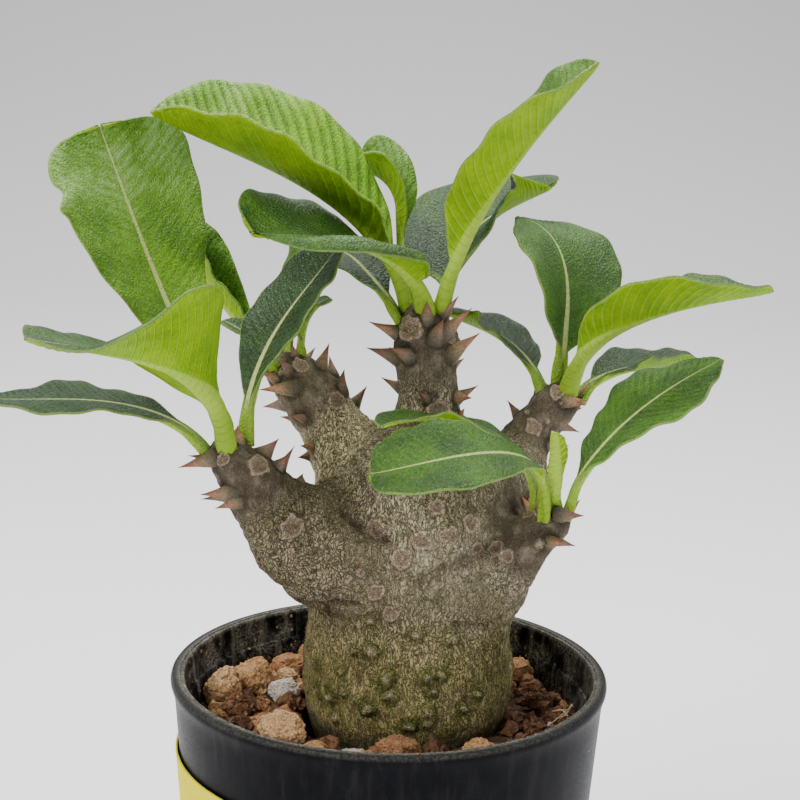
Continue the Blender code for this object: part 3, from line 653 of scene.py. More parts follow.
# Corky warts, the lower ones green with algae: across, down, radius, height.
SEEN_WARTS = [
    (387, 679, 1.9, 1.4), (390, 694, 2.2, 1.2), (426, 678, 1.9, 1.4), (441, 675, 1.7, 1.3),
    (433, 691, 1.6, 1.2), (477, 694, 1.5, 1.0), (463, 708, 1.7, 1.2), (427, 712, 1.9, 1.4),
    (428, 722, 1.7, 1.1), (369, 707, 2.1, 1.5), (336, 717, 1.7, 0.9), (409, 726, 1.9, 1.1),
    (331, 697, 2.4, 0.9), (317, 664, 1.8, 1.1), (373, 650, 2.5, 1.2), (355, 650, 1.3, 1.4),
    (416, 634, 1.9, 1.1), (371, 620, 1.6, 0.9), (452, 637, 2.3, 0.9), (431, 593, 1.9, 0.8),
    (342, 671, 1.5, 0.9), (345, 692, 1.3, 0.8), (472, 571, 1.2, 1.2), (318, 690, 1.6, 0.7),
    (436, 411, 0.9, 0.8), (423, 397, 1.2, 1.1), (319, 399, 1.1, 1.0), (528, 413, 1.3, 1.0),
    (548, 421, 1.2, 0.9), (561, 403, 1.0, 0.9), (539, 542, 1.9, 1.5), (552, 541, 1.5, 1.4),
    (560, 515, 1.7, 1.3), (362, 545, 1.0, 0.5), (236, 557, 1.9, 1.6), (284, 372, 1.5, 1.4),
    (222, 447, 1.9, 1.6), (284, 534, 1.6, 0.6), (436, 563, 1.1, 0.5), (498, 533, 1.3, 0.9),
]
# Creases where limbs and folds press together: picture points, half width, depth.
CREASES = [
    ([(303, 600), (327, 604), (337, 602), (358, 606)], 1.3, 1.2),
    ([(455, 625), (485, 627), (500, 620), (510, 612)], 1.3, 1.2),
    ([(318, 484), (345, 512), (366, 531), (388, 542)], 1.6, 1.5),
    ([(511, 522), (503, 540), (474, 556), (444, 570), (420, 584)], 2.2, 0.7),
    ([(327, 604), (330, 624), (333, 640)], 0.9, 0.7),
    ([(352, 455), (362, 478), (372, 500)], 1.4, 0.8),
    ([(462, 452), (470, 480), (468, 505)], 1.4, 0.7),
]
BACK_WARTS = 40
BACK_SCARS = 26
# Warts at the back stand from this height up, over this much of it.
BACK_WART_FOOT = 69
BACK_WART_RISE = 46
# How far from a crown, the trunk's axis or a spine's foot a mark begins and is full.
CROWN_REACH = (22.0, 6.0)
STEM_REACH = (27.0, 20.0)
SPINE_SHADE_REACH = (3.6, 1.4)
# The heights between which the skin changes from plain, in the soil, to rough.
SOIL_EDGE = (64.0, 70.0)
# Limbs whose bark is painted lighter or darker than the rest, as painted light and shade, and by how
# much.
LIT_AND_SHADED_LIMBS = {"back_left": 0.5, "front_left": -0.5}
LIMB_LIGHT_STEPS = 24


def ball(place, radius):
    bpy.ops.mesh.primitive_uv_sphere_add(
        segments=32, ring_count=16, radius=radius * MM, location=Vector(place) * MM)
    return bpy.context.object


def cone_between(start, end, sides=32):
    run = Vector(end[:3]) - Vector(start[:3])
    bpy.ops.mesh.primitive_cone_add(
        vertices=sides, radius1=start[3] * MM, radius2=end[3] * MM, depth=run.length * MM,
        location=(Vector(start[:3]) + run / 2) * MM, rotation=run.to_track_quat("Z", "Y").to_euler())
    return bpy.context.object


def points_of(piece):
    places = np.empty(len(piece.data.vertices) * 3)
    piece.data.vertices.foreach_get("co", places)
    return places.reshape(-1, 3) / MM


def put_points(piece, places):
    piece.data.vertices.foreach_set("co", (places * MM).astype(np.float32).ravel())
    piece.data.update()


def away_from(places, centre):
    """How far each place is from a point."""
    return np.linalg.norm(places - np.array(centre), axis=1)


def tree_of(piece):
    return BVHTree.FromObject(piece, bpy.context.evaluated_depsgraph_get())


def limb_point(limb, share):
    """Centre, radius and direction of a limb at a share of its length."""
    rows = np.array(LIMBS[limb])
    steps = np.linalg.norm(np.diff(rows[:, :3], axis=0), axis=1)
    along = np.concatenate([[0.0], np.cumsum(steps)])
    here = share * along[-1]
    values = [float(np.interp(here, along, rows[:, k])) for k in range(4)]
    k = min(int(np.searchsorted(along, here, side="right")), len(rows) - 1)
    return Vector(values[:3]), values[3], Vector(rows[k, :3] - rows[k - 1, :3]).normalized()


def cast(tree, start, way):
    """Where a ray meets the skin and the normal there, or None if it misses."""
    place, normal, _, _ = tree.ray_cast(Vector(start) * MM, way)
    return (place / MM, normal) if place else None


def from_eye(tree, px, py):
    return cast(tree, eye, sight(px, py))


def from_within(tree, start, way):
    return cast(tree, start, Vector(way).normalized())


def noise_at(places, scale, offset=0.0):
    shift = Vector((offset, 1.7 * offset, -offset))
    return np.array([noise.noise(Vector(p) * scale + shift) for p in places])


def ease(low, high, values):
    t = np.clip((values - low) / (high - low), 0.0, 1.0)
    return t * t * (3 - 2 * t)


bodies = []
for rows in LIMBS.values():
    bodies += [ball(row[:3], row[3]) for row in rows]
    bodies += [cone_between(start, end) for start, end in zip(rows, rows[1:])]
feet = [(*TRUNK_CENTRE, height, radius) for radius, height in TRUNK_FOOT]
bodies += [cone_between(start, end) for start, end in zip(feet, feet[1:])]
skin = join("trunk_and_branches", bodies)
apply_modifier(skin, "REMESH", mode="VOXEL", voxel_size=SKIN_VOXEL * MM)
apply_modifier(skin, "SMOOTH", factor=0.5, iterations=SKIN_SMOOTHING)
smooth_tree = tree_of(skin)
scars = [(hit[0], radius) for px, py, radius in SEEN_SCARS if (hit := from_eye(smooth_tree, px, py))]
warts = [(hit[0], radius, height) for px, py, radius, height in SEEN_WARTS
         if (hit := from_eye(smooth_tree, px, py))]
draw = random.Random(3)
for k in range(BACK_WARTS):
    bearing = math.radians(10 + 160 * (k * GOLDEN_SHARES[0] % 1.0))
    height = BACK_WART_FOOT + BACK_WART_RISE * (k + 0.5) / BACK_WARTS
    hit = from_within(smooth_tree, (*TRUNK_AXIS, height), (math.cos(bearing), math.sin(bearing), 0.0))
    warts.append((hit[0], draw.uniform(1.1, 1.8), draw.uniform(0.6, 1.2)))
for k in range(BACK_SCARS):
    limb = list(LIMBS)[k % len(LIMBS)]
    centre, _, _ = limb_point(limb, 0.35 + 0.6 * (k * GOLDEN_SHARES[0] % 1.0))
    bearing = math.radians(20 + 140 * (k * GOLDEN_SHARES[1] % 1.0))
    hit = from_within(smooth_tree, centre, (math.cos(bearing), math.sin(bearing), 0.1))
    if hit:
        scars.append((hit[0], draw.uniform(1.5, 2.2)))

places = points_of(skin)
ways = np.empty(places.size)
skin.data.vertex_normals.foreach_get("vector", ways)
above_soil = ease(*SOIL_EDGE, places[:, 2])
swell = 0.60 * noise_at(places, 0.11) + 0.32 * noise_at(places, 0.33, 5.0)
upright = places * np.array([1.0, 1.0, 0.30])
folds = 0.34 * (0.4 - np.abs(noise_at(upright, 0.42, 7.0))) + 0.22 * noise_at(upright, 0.95, 9.0)
grain = 0.12 * noise_at(places, 1.4, 4.0)
lift = (swell + folds + grain) * above_soil
marks = {name: np.zeros(len(places)) for name in ("scar", "wart", "crease", "crown")}
wobble = 1.0 + 0.35 * noise_at(places, 0.8, 2.0)
crumble = 0.5 * noise_at(places, 1.3, 6.0) + 0.3 * noise_at(places, 2.6, 3.0)
for centre, radius in scars:
    t = away_from(places, centre) / radius * wobble
    near = t < 1.5
    rim = 0.62 * ease(1.45, 0.85, t[near]) - 0.58 * ease(0.72, 0.42, t[near])
    lift[near] += rim + 0.25 * ease(0.30, 0.0, t[near]) + 0.22 * crumble[near]
    marks["scar"][near] = np.maximum(marks["scar"][near], ease(1.35, 0.75, t[near]))
for centre, radius, height in warts:
    t = away_from(places, centre) / radius * wobble
    near = t < 1.6
    cone = np.clip(1.0 - t[near], 0.0, 1.0) ** 1.25
    ragged = 0.62 * crumble[near] * ease(1.6, 0.7, t[near])
    lift[near] += 1.15 * height * cone * (1.0 + 1.2 * crumble[near]) + ragged
    marks["wart"][near] = np.maximum(marks["wart"][near], 1.0 - t[near] / 1.6)
deepest = np.zeros(len(places))
for sights, half_width, depth in CREASES:
    hits = [from_eye(smooth_tree, px, py) for px, py in sights]
    spots = [np.array(hit[0]) for hit in hits if hit]
    for start, end in zip(spots, spots[1:]):
        run = end - start
        share = np.clip((places - start) @ run / (run @ run), 0.0, 1.0)
        t = np.linalg.norm(places - start - share[:, None] * run, axis=1) / half_width
        deepest = np.maximum(deepest, depth * ease(1.0, 0.0, t))
        marks["crease"] = np.maximum(marks["crease"], ease(1.0, 0.2, t))
lift -= deepest
put_points(skin, places + ways.reshape(-1, 3) * lift[:, None])

for limb in list(LIMBS)[1:]:
    near = ease(*CROWN_REACH, away_from(places, LIMBS[limb][-1][:3]))
    marks["crown"] = np.maximum(marks["crown"], near)
marks["stem"] = ease(*STEM_REACH, away_from(places[:, :2], TRUNK_AXIS))
# The limb light mark: painted light and shade laid over whole limbs.
marks["limb_light"] = np.full(len(places), 0.5)
for limb, change in LIT_AND_SHADED_LIMBS.items():
    for k in range(LIMB_LIGHT_STEPS):
        centre, radius, _ = limb_point(limb, (k + 0.5) / LIMB_LIGHT_STEPS)
        near = ease(3.5, 0.0, away_from(places, centre) - radius)
        here = 0.5 + change * near * min(1.0, (k + 3) / 9)
        marks["limb_light"] = np.where(np.abs(here - 0.5) > np.abs(marks["limb_light"] - 0.5), here, marks["limb_light"])
for name, values in marks.items():
    put_mark(skin, name, values)


def bark_net(tree, stretch, scale, bend):
    """The bark's wrinkled net: 1 on its pale ridges and 0 in its dark grooves."""
    drawn = add(tree, "ShaderNodeVectorMath", {0: millimetres(tree, stretch), 1: bend})
    inputs = {"Vector": drawn, "Scale": scale}
    lines = add(tree, "ShaderNodeTexVoronoi", inputs, feature="DISTANCE_TO_EDGE")
    folds = calc(tree, "ABSOLUTE", drawn.noise(scale * 0.7, 2.0) - 0.5)
    return lines.fade(-0.06, 0.17) * folds.fade(0.0, 0.040)


def bark_material():
    made, tree, shader = new_material("bark")
    place = millimetres(tree)
    _, _, height = add(tree, "ShaderNodeSeparateXYZ", {"Vector": place}, (0, 1, 2))
    scar, wart, crown, crease, stem, limb_light, spine_shade = [
        mark_on(tree, name) for name in ("scar", "wart", "crown", "crease", "stem", "limb_light", "spine_shade")]
    bend = add(tree, "ShaderNodeTexNoise", {"Vector": place, "Scale": 0.32, "Detail": 3.0}, "Color")
    bend = add(tree, "ShaderNodeVectorMath", {0: bend, 1: (0.5, 0.5, 0.5)}, operation="SUBTRACT")
    bend = add(tree, "ShaderNodeVectorMath", {0: bend, "Scale": 3.6}, operation="SCALE")
    upright = bark_net(tree, (1.0, 1.0, 0.26), 1.45, bend)
    crazed = bark_net(tree, (1.0, 1.0, 0.62), 1.35, bend)
    ridge = add(tree, "ShaderNodeMix", {0: stem, 2: crazed, 3: upright})
    cloud = place.noise(0.09, 5.0, 0.6)
    patches = place.noise(0.30, 6.0, 0.65)
    grain = place.noise(3.0, 6.0, 0.75)

    pale = cloud.ramp(
        (0.34, 0.330, 0.280, 0.160), (0.50, 0.450, 0.385, 0.235), (0.64, 0.590, 0.505, 0.340))
    groove = cloud.ramp((0.3, 0.040, 0.036, 0.020), (0.7, 0.066, 0.054, 0.032))
    bark = groove.mix(ridge * grain.fade(0.25, 0.5, 0.80, 1.0), pale)
    # Painted light and shade: whole limbs made lighter or darker.
    bark = bark.mix(1.0, limb_light.ramp(
        (0.0, 0.70, 0.67, 0.62), (0.5, 1.0, 1.0, 1.0), (1.0, 1.75, 1.70, 1.62)), "MULTIPLY")
    bark = bark.mix(patches.fade(0.50, 0.72, 0.0, 0.50) * 0.7, (0.150, 0.148, 0.075))
    pink = cloud.fade(0.50, 0.66) * patches.fade(0.50, 0.35)
    bark = bark.mix(pink * 0.34, (0.440, 0.300, 0.230))

    young = patches.ramp(
        (0.34, 0.058, 0.044, 0.030), (0.50, 0.115, 0.086, 0.060), (0.66, 0.270, 0.215, 0.160))
    bark = bark.mix(crown.fade(0.30, 0.95, 0.0, 0.86), young)
    # Painted shade round the spines' feet, strongest on the crowns.
    bark = bark.mix(spine_shade * crown.fade(0.1, 0.9, 0.25, 0.75), (0.030, 0.021, 0.014))

    low = height.fade(101.0, 82.0)
    bark = bark.mix(low, bark.mix(1.0, (0.96, 0.93, 0.66), "MULTIPLY"))
    algae = height.fade(96.0, 76.0) * patches.fade(0.42, 0.60) * grain.fade(0.35, 0.60, 0.35, 1.0)
    bark = bark.mix(algae * 0.34, (0.250, 0.260, 0.035))
    moss = low * wart.fade(0.10, 0.40) * patches.fade(0.66, 0.40)
    green = grain.ramp((0.42, 0.024, 0.030, 0.005), (0.62, 0.200, 0.225, 0.040))
    bark = bark.mix(moss * 0.92, green)
    bark = bark.mix(wart.fade(0.60, 0.92, 0.0, 0.75) * grain.fade(0.38, 0.55), (0.620, 0.530, 0.330))

    cork = grain.ramp(
        (0.34, 0.250, 0.160, 0.105), (0.47, 0.540, 0.385, 0.265), (0.60, 0.740, 0.565, 0.415))
    bark = bark.mix(scar.fade(0.45, 0.95, 0.0, 0.78), cork)
    rim = calc(tree, "PINGPONG", scar * 1.45, 0.5).fade(0.30, 0.50) * scar.fade(0.05, 0.25)
    bark = bark.mix(rim * 0.55, (0.100, 0.066, 0.043))
    # Painted shade in the creases where limbs and folds press together.
    bark = bark.mix(crease * 0.40, (0.085, 0.060, 0.045))
    # The bark darkens over the last few millimetres above the soil.
    foot_dark = (height + patches * 5.0).fade(73.5, 69.5)
    bark = bark.mix(foot_dark * 0.80, (0.045, 0.034, 0.020))

    relief = ridge * crown.fade(0.3, 1.0, 1.0, 0.30) * 1.3 + grain * 0.9
    feed(tree, shader, {
        "Base Color": grain_over(bark, place, 3.0, 0.32)[0],
        "Roughness": grain.fade(0.3, 0.7, 0.66, 0.90),
        "Specular IOR Level": 0.20, "Normal": relief.bump(1.0, 0.40)})
    return made


dress(skin, bark_material())
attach(skin, "root")
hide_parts("caudex")

# Fine roots. A few pale, thread-like roots have washed out of the mix at its right edge and lie
# bent over the granules there. Each is a chain of thin round lengths with a ball at every bend.
ROOT_RADIUS = 0.16
ROOT_SIDES = 8
ROOT_RUNS = [
    [(33.8, 2.0, 67.0), (35.2, -0.5, 69.6), (36.8, -2.6, 70.6), (37.4, -4.6, 69.0), (36.2, -6.4, 67.2)],
    [(34.6, -2.4, 68.0), (36.4, -3.8, 70.4), (37.9, -3.2, 71.6), (38.6, -1.0, 70.6)],
    [(35.8, 3.0, 67.2), (37.4, 0.8, 69.8), (38.2, -1.8, 71.4), (37.2, -4.4, 71.0), (35.0, -5.8, 69.2)],
    [(32.8, -6.6, 68.4), (34.8, -6.2, 70.2), (36.6, -5.2, 70.4), (37.8, -3.6, 69.4)],
    [(36.4, -7.6, 67.4), (37.2, -5.6, 69.4), (36.2, -3.4, 70.8), (34.0, -2.6, 70.2)],
]


def root_material():
    made, tree, shader = new_material("root_fibre")
    place = millimetres(tree)
    pale = place.noise(0.5).ramp((0.35, 0.24, 0.15, 0.085), (0.65, 0.50, 0.36, 0.22))
    colour, grain = grain_over(pale, place, 4.0, 0.3)
    feed(tree, shader, {
        "Base Color": colour, "Roughness": grain.fade(0.3, 0.7, 0.7, 0.9),
        "Normal": grain.bump(0.4, 0.1)})
    return made


lengths = []
for run in ROOT_RUNS:
    for start, end in zip(run, run[1:]):
        bpy.ops.mesh.primitive_ico_sphere_add(
            subdivisions=1, radius=ROOT_RADIUS * MM, location=Vector(end) * MM)
        lengths.append(bpy.context.object)
        lengths.append(cone_between((*start, ROOT_RADIUS), (*end, ROOT_RADIUS), ROOT_SIDES))
roots = join("fine_roots", lengths)
dress(roots, root_material())
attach(roots, "root")

# Spines. Stout, brown and woody, in twos and threes: a swollen foot sweeps up to a thin red tip.
# One is drawn ring by ring and copied, first where the picture shows them, then by a rule.
SPINE_LENGTH = 5.2
SPINE_RINGS = [
    (2.00, -1.3), (1.82, -0.3), (1.54, 0.5), (1.18, 1.4), (0.80, 2.4), (0.48, 3.4), (0.22, 4.3),
    (0.02, 5.2),
]
SPINE_SIDES = 10
# Spines in the picture: foot across and down, tip across and down, half width of the foot.
SEEN_SPINES = [
    (460, 347, 487, 328, 2.1), (453, 325, 479, 302, 1.9), (448, 310, 463, 290, 1.4),
    (441, 305, 454, 291, 1.1), (436, 335, 443, 319, 2.1), (427, 316, 427, 302, 1.9),
    (390, 330, 361, 319, 1.9), (388, 308, 377, 299, 1.4), (397, 300, 388, 291, 0.8),
    (388, 354, 359, 346, 2.1), (407, 355, 390, 348, 1.8), (457, 397, 472, 398, 1.8),
    (383, 412, 376, 402, 1.3), (425, 399, 419, 392, 1.2), (460, 415, 465, 408, 1.1),
    (210, 459, 179, 468, 2.0), (203, 457, 183, 455, 1.1), (221, 493, 194, 495, 1.9),
    (236, 502, 216, 508, 1.7), (253, 429, 273, 409, 2.0), (248, 423, 262, 411, 1.9),
    (268, 450, 283, 435, 2.2), (272, 443, 275, 433, 0.9), (281, 463, 293, 450, 1.7),
    (277, 458, 279, 454, 0.7), (300, 479, 302, 471, 1.4), (237, 438, 240, 425, 2.1),
    (232, 409, 233, 391, 1.3), (206, 426, 193, 416, 1.3), (202, 412, 192, 401, 1.0),
    (220, 407, 220, 393, 1.0), (239, 556, 230, 549, 1.3), (238, 561, 225, 562, 1.2),
    (302, 344, 304, 325, 1.5), (307, 350, 313, 335, 1.8), (316, 353, 322, 338, 1.0),
    (323, 360, 332, 337, 1.9), (341, 387, 343, 369, 1.9), (288, 388, 259, 390, 1.9),
    (275, 378, 261, 372, 1.5), (303, 418, 291, 415, 1.2), (312, 447, 300, 445, 1.4),
    (308, 456, 297, 457, 1.2), (287, 369, 283, 360, 1.4), (294, 352, 291, 338, 1.2),
    (532, 382, 525, 366, 1.9), (553, 378, 553, 361, 1.4), (567, 401, 587, 400, 1.6),
    (568, 403, 585, 405, 1.2), (568, 390, 582, 374, 1.2), (563, 386, 569, 373, 1.0),
    (563, 515, 584, 515, 1.8), (551, 542, 564, 539, 1.6), (528, 503, 525, 495, 1.3),
    (517, 513, 516, 506, 1.2),
]
# By rule, for each limb: where pairs of spines begin, as a share of its length, and how many.
SPINE_PAIRS = {
    "front_left": (0.40, 11), "back_left": (0.30, 10), "centre": (0.20, 12), "back_right": (0.36, 8),
    "front_right": (0.42, 6),
}
CROWN_SPINES = 7
SPINE_ROOM = 3.2
SPINE_SQUASH = 0.985
SPINE_BREADTH = (0.92, 1.08)
# The least length of a spine in the picture, as a share of the usual one.
SPINE_LEAST = 0.86


def set_spine(foot, axis, sunk, length, width, hook):
    """A copy of the spine with its foot sunk in the skin, bent a little and slightly flattened."""
    copy = own_copy(spine)
    shape = points_of(copy) * (width * SPINE_BREADTH[0], width * SPINE_BREADTH[1], length / SPINE_LENGTH)
    shape[:, 0] += hook * np.clip(shape[:, 2] / length, 0.0, 1.0) ** 2
    turn = np.array(axis.to_track_quat("Z", "Y").to_matrix())
    put_points(copy, shape @ turn.T + np.array(foot - axis * sunk))
    put_mark(copy, "age", draw.uniform(0, 1))
    feet.append(foot)
    spines.append(copy)


def bare_and_hidden(place, normal, room):
    """Whether the picture doesn't show a place and no spine stands within some room of it."""
    if any((place - other).length <= room for other in feet):
        return False
    reached = skin_tree.ray_cast(eye * MM, (place - eye).normalized())[3]
    return normal.dot(eye - place) <= 0.0 or reached * 1000 <= (place - eye).length - 1.0


skin_tree = tree_of(skin)
spine = turned("spine", SPINE_RINGS, SPINE_SIDES, SPINE_SQUASH)
bpy.ops.object.shade_smooth()
put_mark(spine, "reach", np.clip(points_of(spine)[:, 2] / SPINE_LENGTH, 0.0, 1.0))
draw = random.Random(8)
feet = []
spines = []
for foot_x, foot_y, tip_x, tip_y, half_foot in SEEN_SPINES:
    hit = from_eye(skin_tree, foot_x, foot_y)
    if hit is None:
        hit = from_eye(skin_tree, foot_x + 0.25 * (foot_x - tip_x), foot_y + 0.25 * (foot_y - tip_y))
    if hit is None:
        continue
    foot, normal = hit
    across = picture_right * (tip_x - foot_x) - picture_up * (tip_y - foot_y)
    across = across * ((foot - eye).dot(ahead) / FOCAL_PIXELS)
    length = max(across.length * 1.03, SPINE_LENGTH * SPINE_LEAST)
    spare = math.sqrt(max(length ** 2 - across.length ** 2, 0.0))
    axis = across - ahead * spare * min(1.0, max(0.15, -normal.dot(ahead) * 1.6))
    width = half_foot / SPINE_RINGS[1][0]
    set_spine(foot, axis.normalized(), 0.5, axis.length + 0.5, width, draw.uniform(-0.5, 0.5))
for limb, (first, pairs) in SPINE_PAIRS.items():
    for k in range(CROWN_SPINES):
        bearing = math.radians(360.0 * k / CROWN_SPINES + 17 * len(limb))
        outward = Vector((math.cos(bearing), math.sin(bearing), 0.25))
        hit = from_within(skin_tree, LIMBS[limb][-1][:3], outward)
        if hit and bare_and_hidden(*hit, SPINE_ROOM):
            axis = (outward + Vector((0, 0, 0.75))).normalized()
            set_spine(hit[0], axis, 0.4, SPINE_LENGTH * draw.uniform(0.8, 1.1),
                      draw.uniform(0.8, 1.0), draw.uniform(-0.4, 0.4))
    for k in range(pairs):
        share = first + (1.0 - first) * ((k + 0.5) / pairs) ** 0.75
        centre, radius, heading = limb_point(limb, min(share, 0.995))
        side = heading.orthogonal().normalized()
        other = heading.cross(side)
        for twin in (-1, 1):
            angle = math.radians(GOLDEN_ANGLE * k + 40) + twin * 1.75 / radius
            outward = side * math.cos(angle) + other * math.sin(angle)
            hit = from_within(skin_tree, centre, outward + heading * 0.15)
            if hit and bare_and_hidden(*hit, SPINE_ROOM * 0.9):
                rise = heading * (0.25 + 0.45 * share ** 3)
                axis = (hit[1] * 0.55 + outward * 0.55 + rise).normalized()
                set_spine(hit[0], axis, 0.3, SPINE_LENGTH * draw.uniform(0.75, 1.1),
                          draw.uniform(0.75, 1.0), draw.uniform(-0.5, 0.5))
bpy.data.objects.remove(spine)
thorns = join("spines", spines)
places = points_of(skin)
# Painted shade round each spine's foot, darkest at the foot.
spine_shade_mark = np.zeros(len(places))
for foot in feet:
    spine_shade_mark = np.maximum(spine_shade_mark, ease(*SPINE_SHADE_REACH, away_from(places, foot)))
put_mark(skin, "spine_shade", spine_shade_mark)


def spine_material():
    made, tree, shader = new_material("spine_wood")
    place = millimetres(tree)
    reach = mark_on(tree, "reach")
    old = reach.ramp(
        (0.0, 0.075, 0.060, 0.040), (0.22, 0.165, 0.125, 0.082), (0.50, 0.235, 0.125, 0.082),
        (0.80, 0.190, 0.070, 0.048), (1.0, 0.120, 0.045, 0.032))
    fresh = reach.ramp(
        (0.0, 0.085, 0.070, 0.040), (0.22, 0.260, 0.180, 0.098), (0.52, 0.400, 0.200, 0.105),
        (0.82, 0.290, 0.105, 0.062), (1.0, 0.150, 0.055, 0.038))
    body = old.mix(mark_on(tree, "age").fade(0.35, 1.0), fresh)
    dull = place.noise(0.8, 5.0, 0.65).fade(0.5, 0.72, 0.0, 0.5)
    colour, grain = grain_over(body.mix(dull, (0.095, 0.072, 0.052)), place, 2.2, 0.45)
    feed(tree, shader, {
        "Base Color": colour, "Roughness": grain.fade(0.3, 0.7, 0.46, 0.66),
        "Specular IOR Level": 0.30, "Normal": grain.bump(0.6, 0.20)})
    return made


dress(thorns, spine_material())
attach(thorns, "root")

# Leaves. Each is one leathery blade on its stalk: a grid is laid along the midrib, folded, waved
# and quilted between the side veins, then thickened, most along the keel of the midrib below.
LEAF_ROWS = 88
LEAF_COLUMNS = 30
MIDRIB_STEPS = 400
STALK_SHARE = 0.14
BLADE_THICKNESS = 0.7
MARGIN_THICKNESS = 0.42
KEEL_DEPTH = 1.2
KEEL_WIDTH = 1.25
WAVE_HEIGHT = 0.55
WAVE_COUNT = 2.5
WAVE_FULL = 6.0
RIPPLE_HEIGHT = 0.30
HALF_SAG = 0.06
GROOVE_DEPTH = 0.28
GROOVE_WIDTH = 0.7
VEIN_SLANT = 0.50
QUILT_HEIGHT = 0.42
SEAT_GAP = 0.3
SEAT_DEPTH = 1.5
# Where a leaf starts to curl over, as a share of its length, and through how many degrees.
CURLS = {"centre_5": (0.60, -90.0)}
# Nicks in a margin: leaf, side, share of the length, share it takes up, depth.
NICKS = [("front_left_1", -1, 0.800, 0.020, -1.3), ("front_left_1", -1, 0.848, 0.022, 1.5)]
# Margins that roll back under the blade, left and right half, in degrees.
USUAL_ROLL = (14.0, 14.0)
ROLLED_MARGINS = {"centre_2": (80.0, 10.0), "centre_1": (5.0, 12.0), "front_left_2": (10.0, 20.0)}
# First line of a row: name, bearing and pitch of its seat on the crown, then its bearings and its
# pitches at base, middle and tip. Second line: length, half width, rolls, left folds and right
# folds at base and tip, bluntness of the tip, slimness of the base, half width of the stalk, tone
# of the upper face, quilting. The tone is partly the leaf's own green and partly painted light:
# leaves are toned lighter or darker for how lit or shaded they stand.
LEAVES = [
    ("front_left_1", (120, 62), (131, 171, 174), (52, 67, 69),
     64.4, 17.4, (8, 36), (2, 6), (16, 22), 0.27, 1.05, 1.6, 0.66, 0.9),
    ("front_left_2", (262, 50), (255, 229, 222), (71, 22, 14),
     54.5, 19.6, (-32, 14), (108, 6), (44, -6), 0.78, 1.05, 2.1, 0.3, 0.6),
    ("front_left_3", (195, 25), (190, 189, 178), (54, 7, 2),
     44.3, 10.0, (7, 3), (0, 6), (10, 4), 0.53, 1.05, 1.7, 0.14, 0.7),
    ("front_left_4", (40, 50), (68, 44, 0), (88, 51, 60),
     45.6, 10.4, (7, -10), (15, 14), (26, 8), 0.43, 1.05, 1.4, 0.12, 0.8),
    ("centre_1", (173, 50), (214, 193, 195), (76, 29, 26),
     65.6, 17.0, (28, 9), (46, 33), (73, 38), 0.62, 1.05, 1.6, 0.74, 1.5),
    ("centre_2", (268, 52), (241, 215, 218), (66, 15, 4),
     46.2, 16.8, (6, 5), (20, 10), (4, 30), 0.34, 0.6, 2.2, 0.34, 0.7),
    ("centre_3", (28, 50), (72, 53, -40), (44, 33, 24),
     42.8, 17.4, (12, -8), (36, 14), (52, 30), 0.36, 0.56, 1.4, 0.2, 0.6),
    ("centre_4", (345, 52), (-23, -17, -12), (80, 56, 50),
     57.0, 13.4, (6, -14), (36, 28), (63, 18), 0.64, 1.05, 1.6, 0.5, 1.0),
    ("centre_5", (136, 36), (138, 158, 168), (77, 86, 87),
     33.2, 8.4, (0, 0), (104, 26), (0, 74), 0.42, 3.4, 1.2, 0.6, 0.6),
    ("centre_6", (186, 26), (178, 128, 120), (58, 27, -14),
     27.0, 8.4, (2, 5), (7, 7), (8, 20), 0.55, 1.05, 1.4, 0.12, 0.5),
    ("back_left_1", (165, 48), (164, 160, 162), (49, 49, 86),
     35.0, 6.8, (2, 0), (56, 42), (84, 84), 0.55, 1.05, 1.5, 0.55, 0.8),
    ("back_left_2", (100, 58), (90, 36, 20), (66, 78, 80),
     31.6, 5.4, (0, 0), (22, 16), (25, 20), 0.55, 1.05, 1.3, 0.5, 0.5),
    ("back_left_3", (20, 58), (19, 8, 12), (88, 66, 8),
     14.6, 3.8, (0, -4), (17, 3), (20, 2), 0.55, 1.05, 1.0, 0.2, 0.5),
    ("back_left_4", (240, 30), (240, 204, 150), (40, 44, 10),
     15.4, 3.9, (0, 8), (19, 8), (20, 14), 0.55, 1.05, 1.0, 0.2, 0.5),
    ("back_right_1", (90, 62), (102, 125, 165), (100, 82, 2),
     41.0, 15.6, (-9, 5), (60, -6), (44, -8), 0.57, 1.05, 1.4, 0.42, 0.8),
    ("back_right_2", (300, 50), (290, 341, 375), (70, 23, 8),
     51.1, 11.8, (5, -3), (52, 12), (72, 18), 0.76, 1.05, 1.6, 0.3, 1.0),
    ("back_right_3", (5, 20), (40, 1, -28), (50, 11, 20),
     26.8, 11.2, (1, 10), (33, 13), (10, 10), 0.7, 1.05, 1.4, 0.18, 0.7),
    ("back_right_4", (175, 40), (135, 143, 222), (60, 25, 22),
     29.0, 11.0, (-21, -12), (5, 5), (10, 31), 0.64, 1.05, 1.4, 0.1, 0.6),
    ("front_right_1", (355, 50), (-20, 16, 2), (80, 40, 29),
     44.2, 12.6, (-10, -8), (3, -2), (19, 6), 0.6, 1.05, 1.3, 0.36, 1.1),
    ("front_right_2", (235, 52), (262, 214, 174), (84, 7, -13),
     49.6, 9.8, (20, 29), (2, 12), (2, 11), 0.37, 1.05, 1.3, 0.32, 0.9),
    ("front_right_3", (285, 80), (284, 250, 230), (82, 86, 82),
     15.2, 2.6, (0, 0), (60, 58), (60, 58), 0.6, 1.05, 0.9, 0.95, 1.7),
    ("front_right_4", (160, 50), (138, 175, 238), (88, 19, -6),
     44.0, 6.4, (-13, -23), (-5, -5), (0, 30), 0.55, 1.05, 1.2, 0.36, 0.6),
]


def three_point(values, share):
    """The value at a share of the way along a smooth run through base, middle and tip."""
    base, middle, tip = values
    near, far = 1 - share, 2 * share - 1
    return -base * near * far + 4 * middle * share * near + tip * share * far


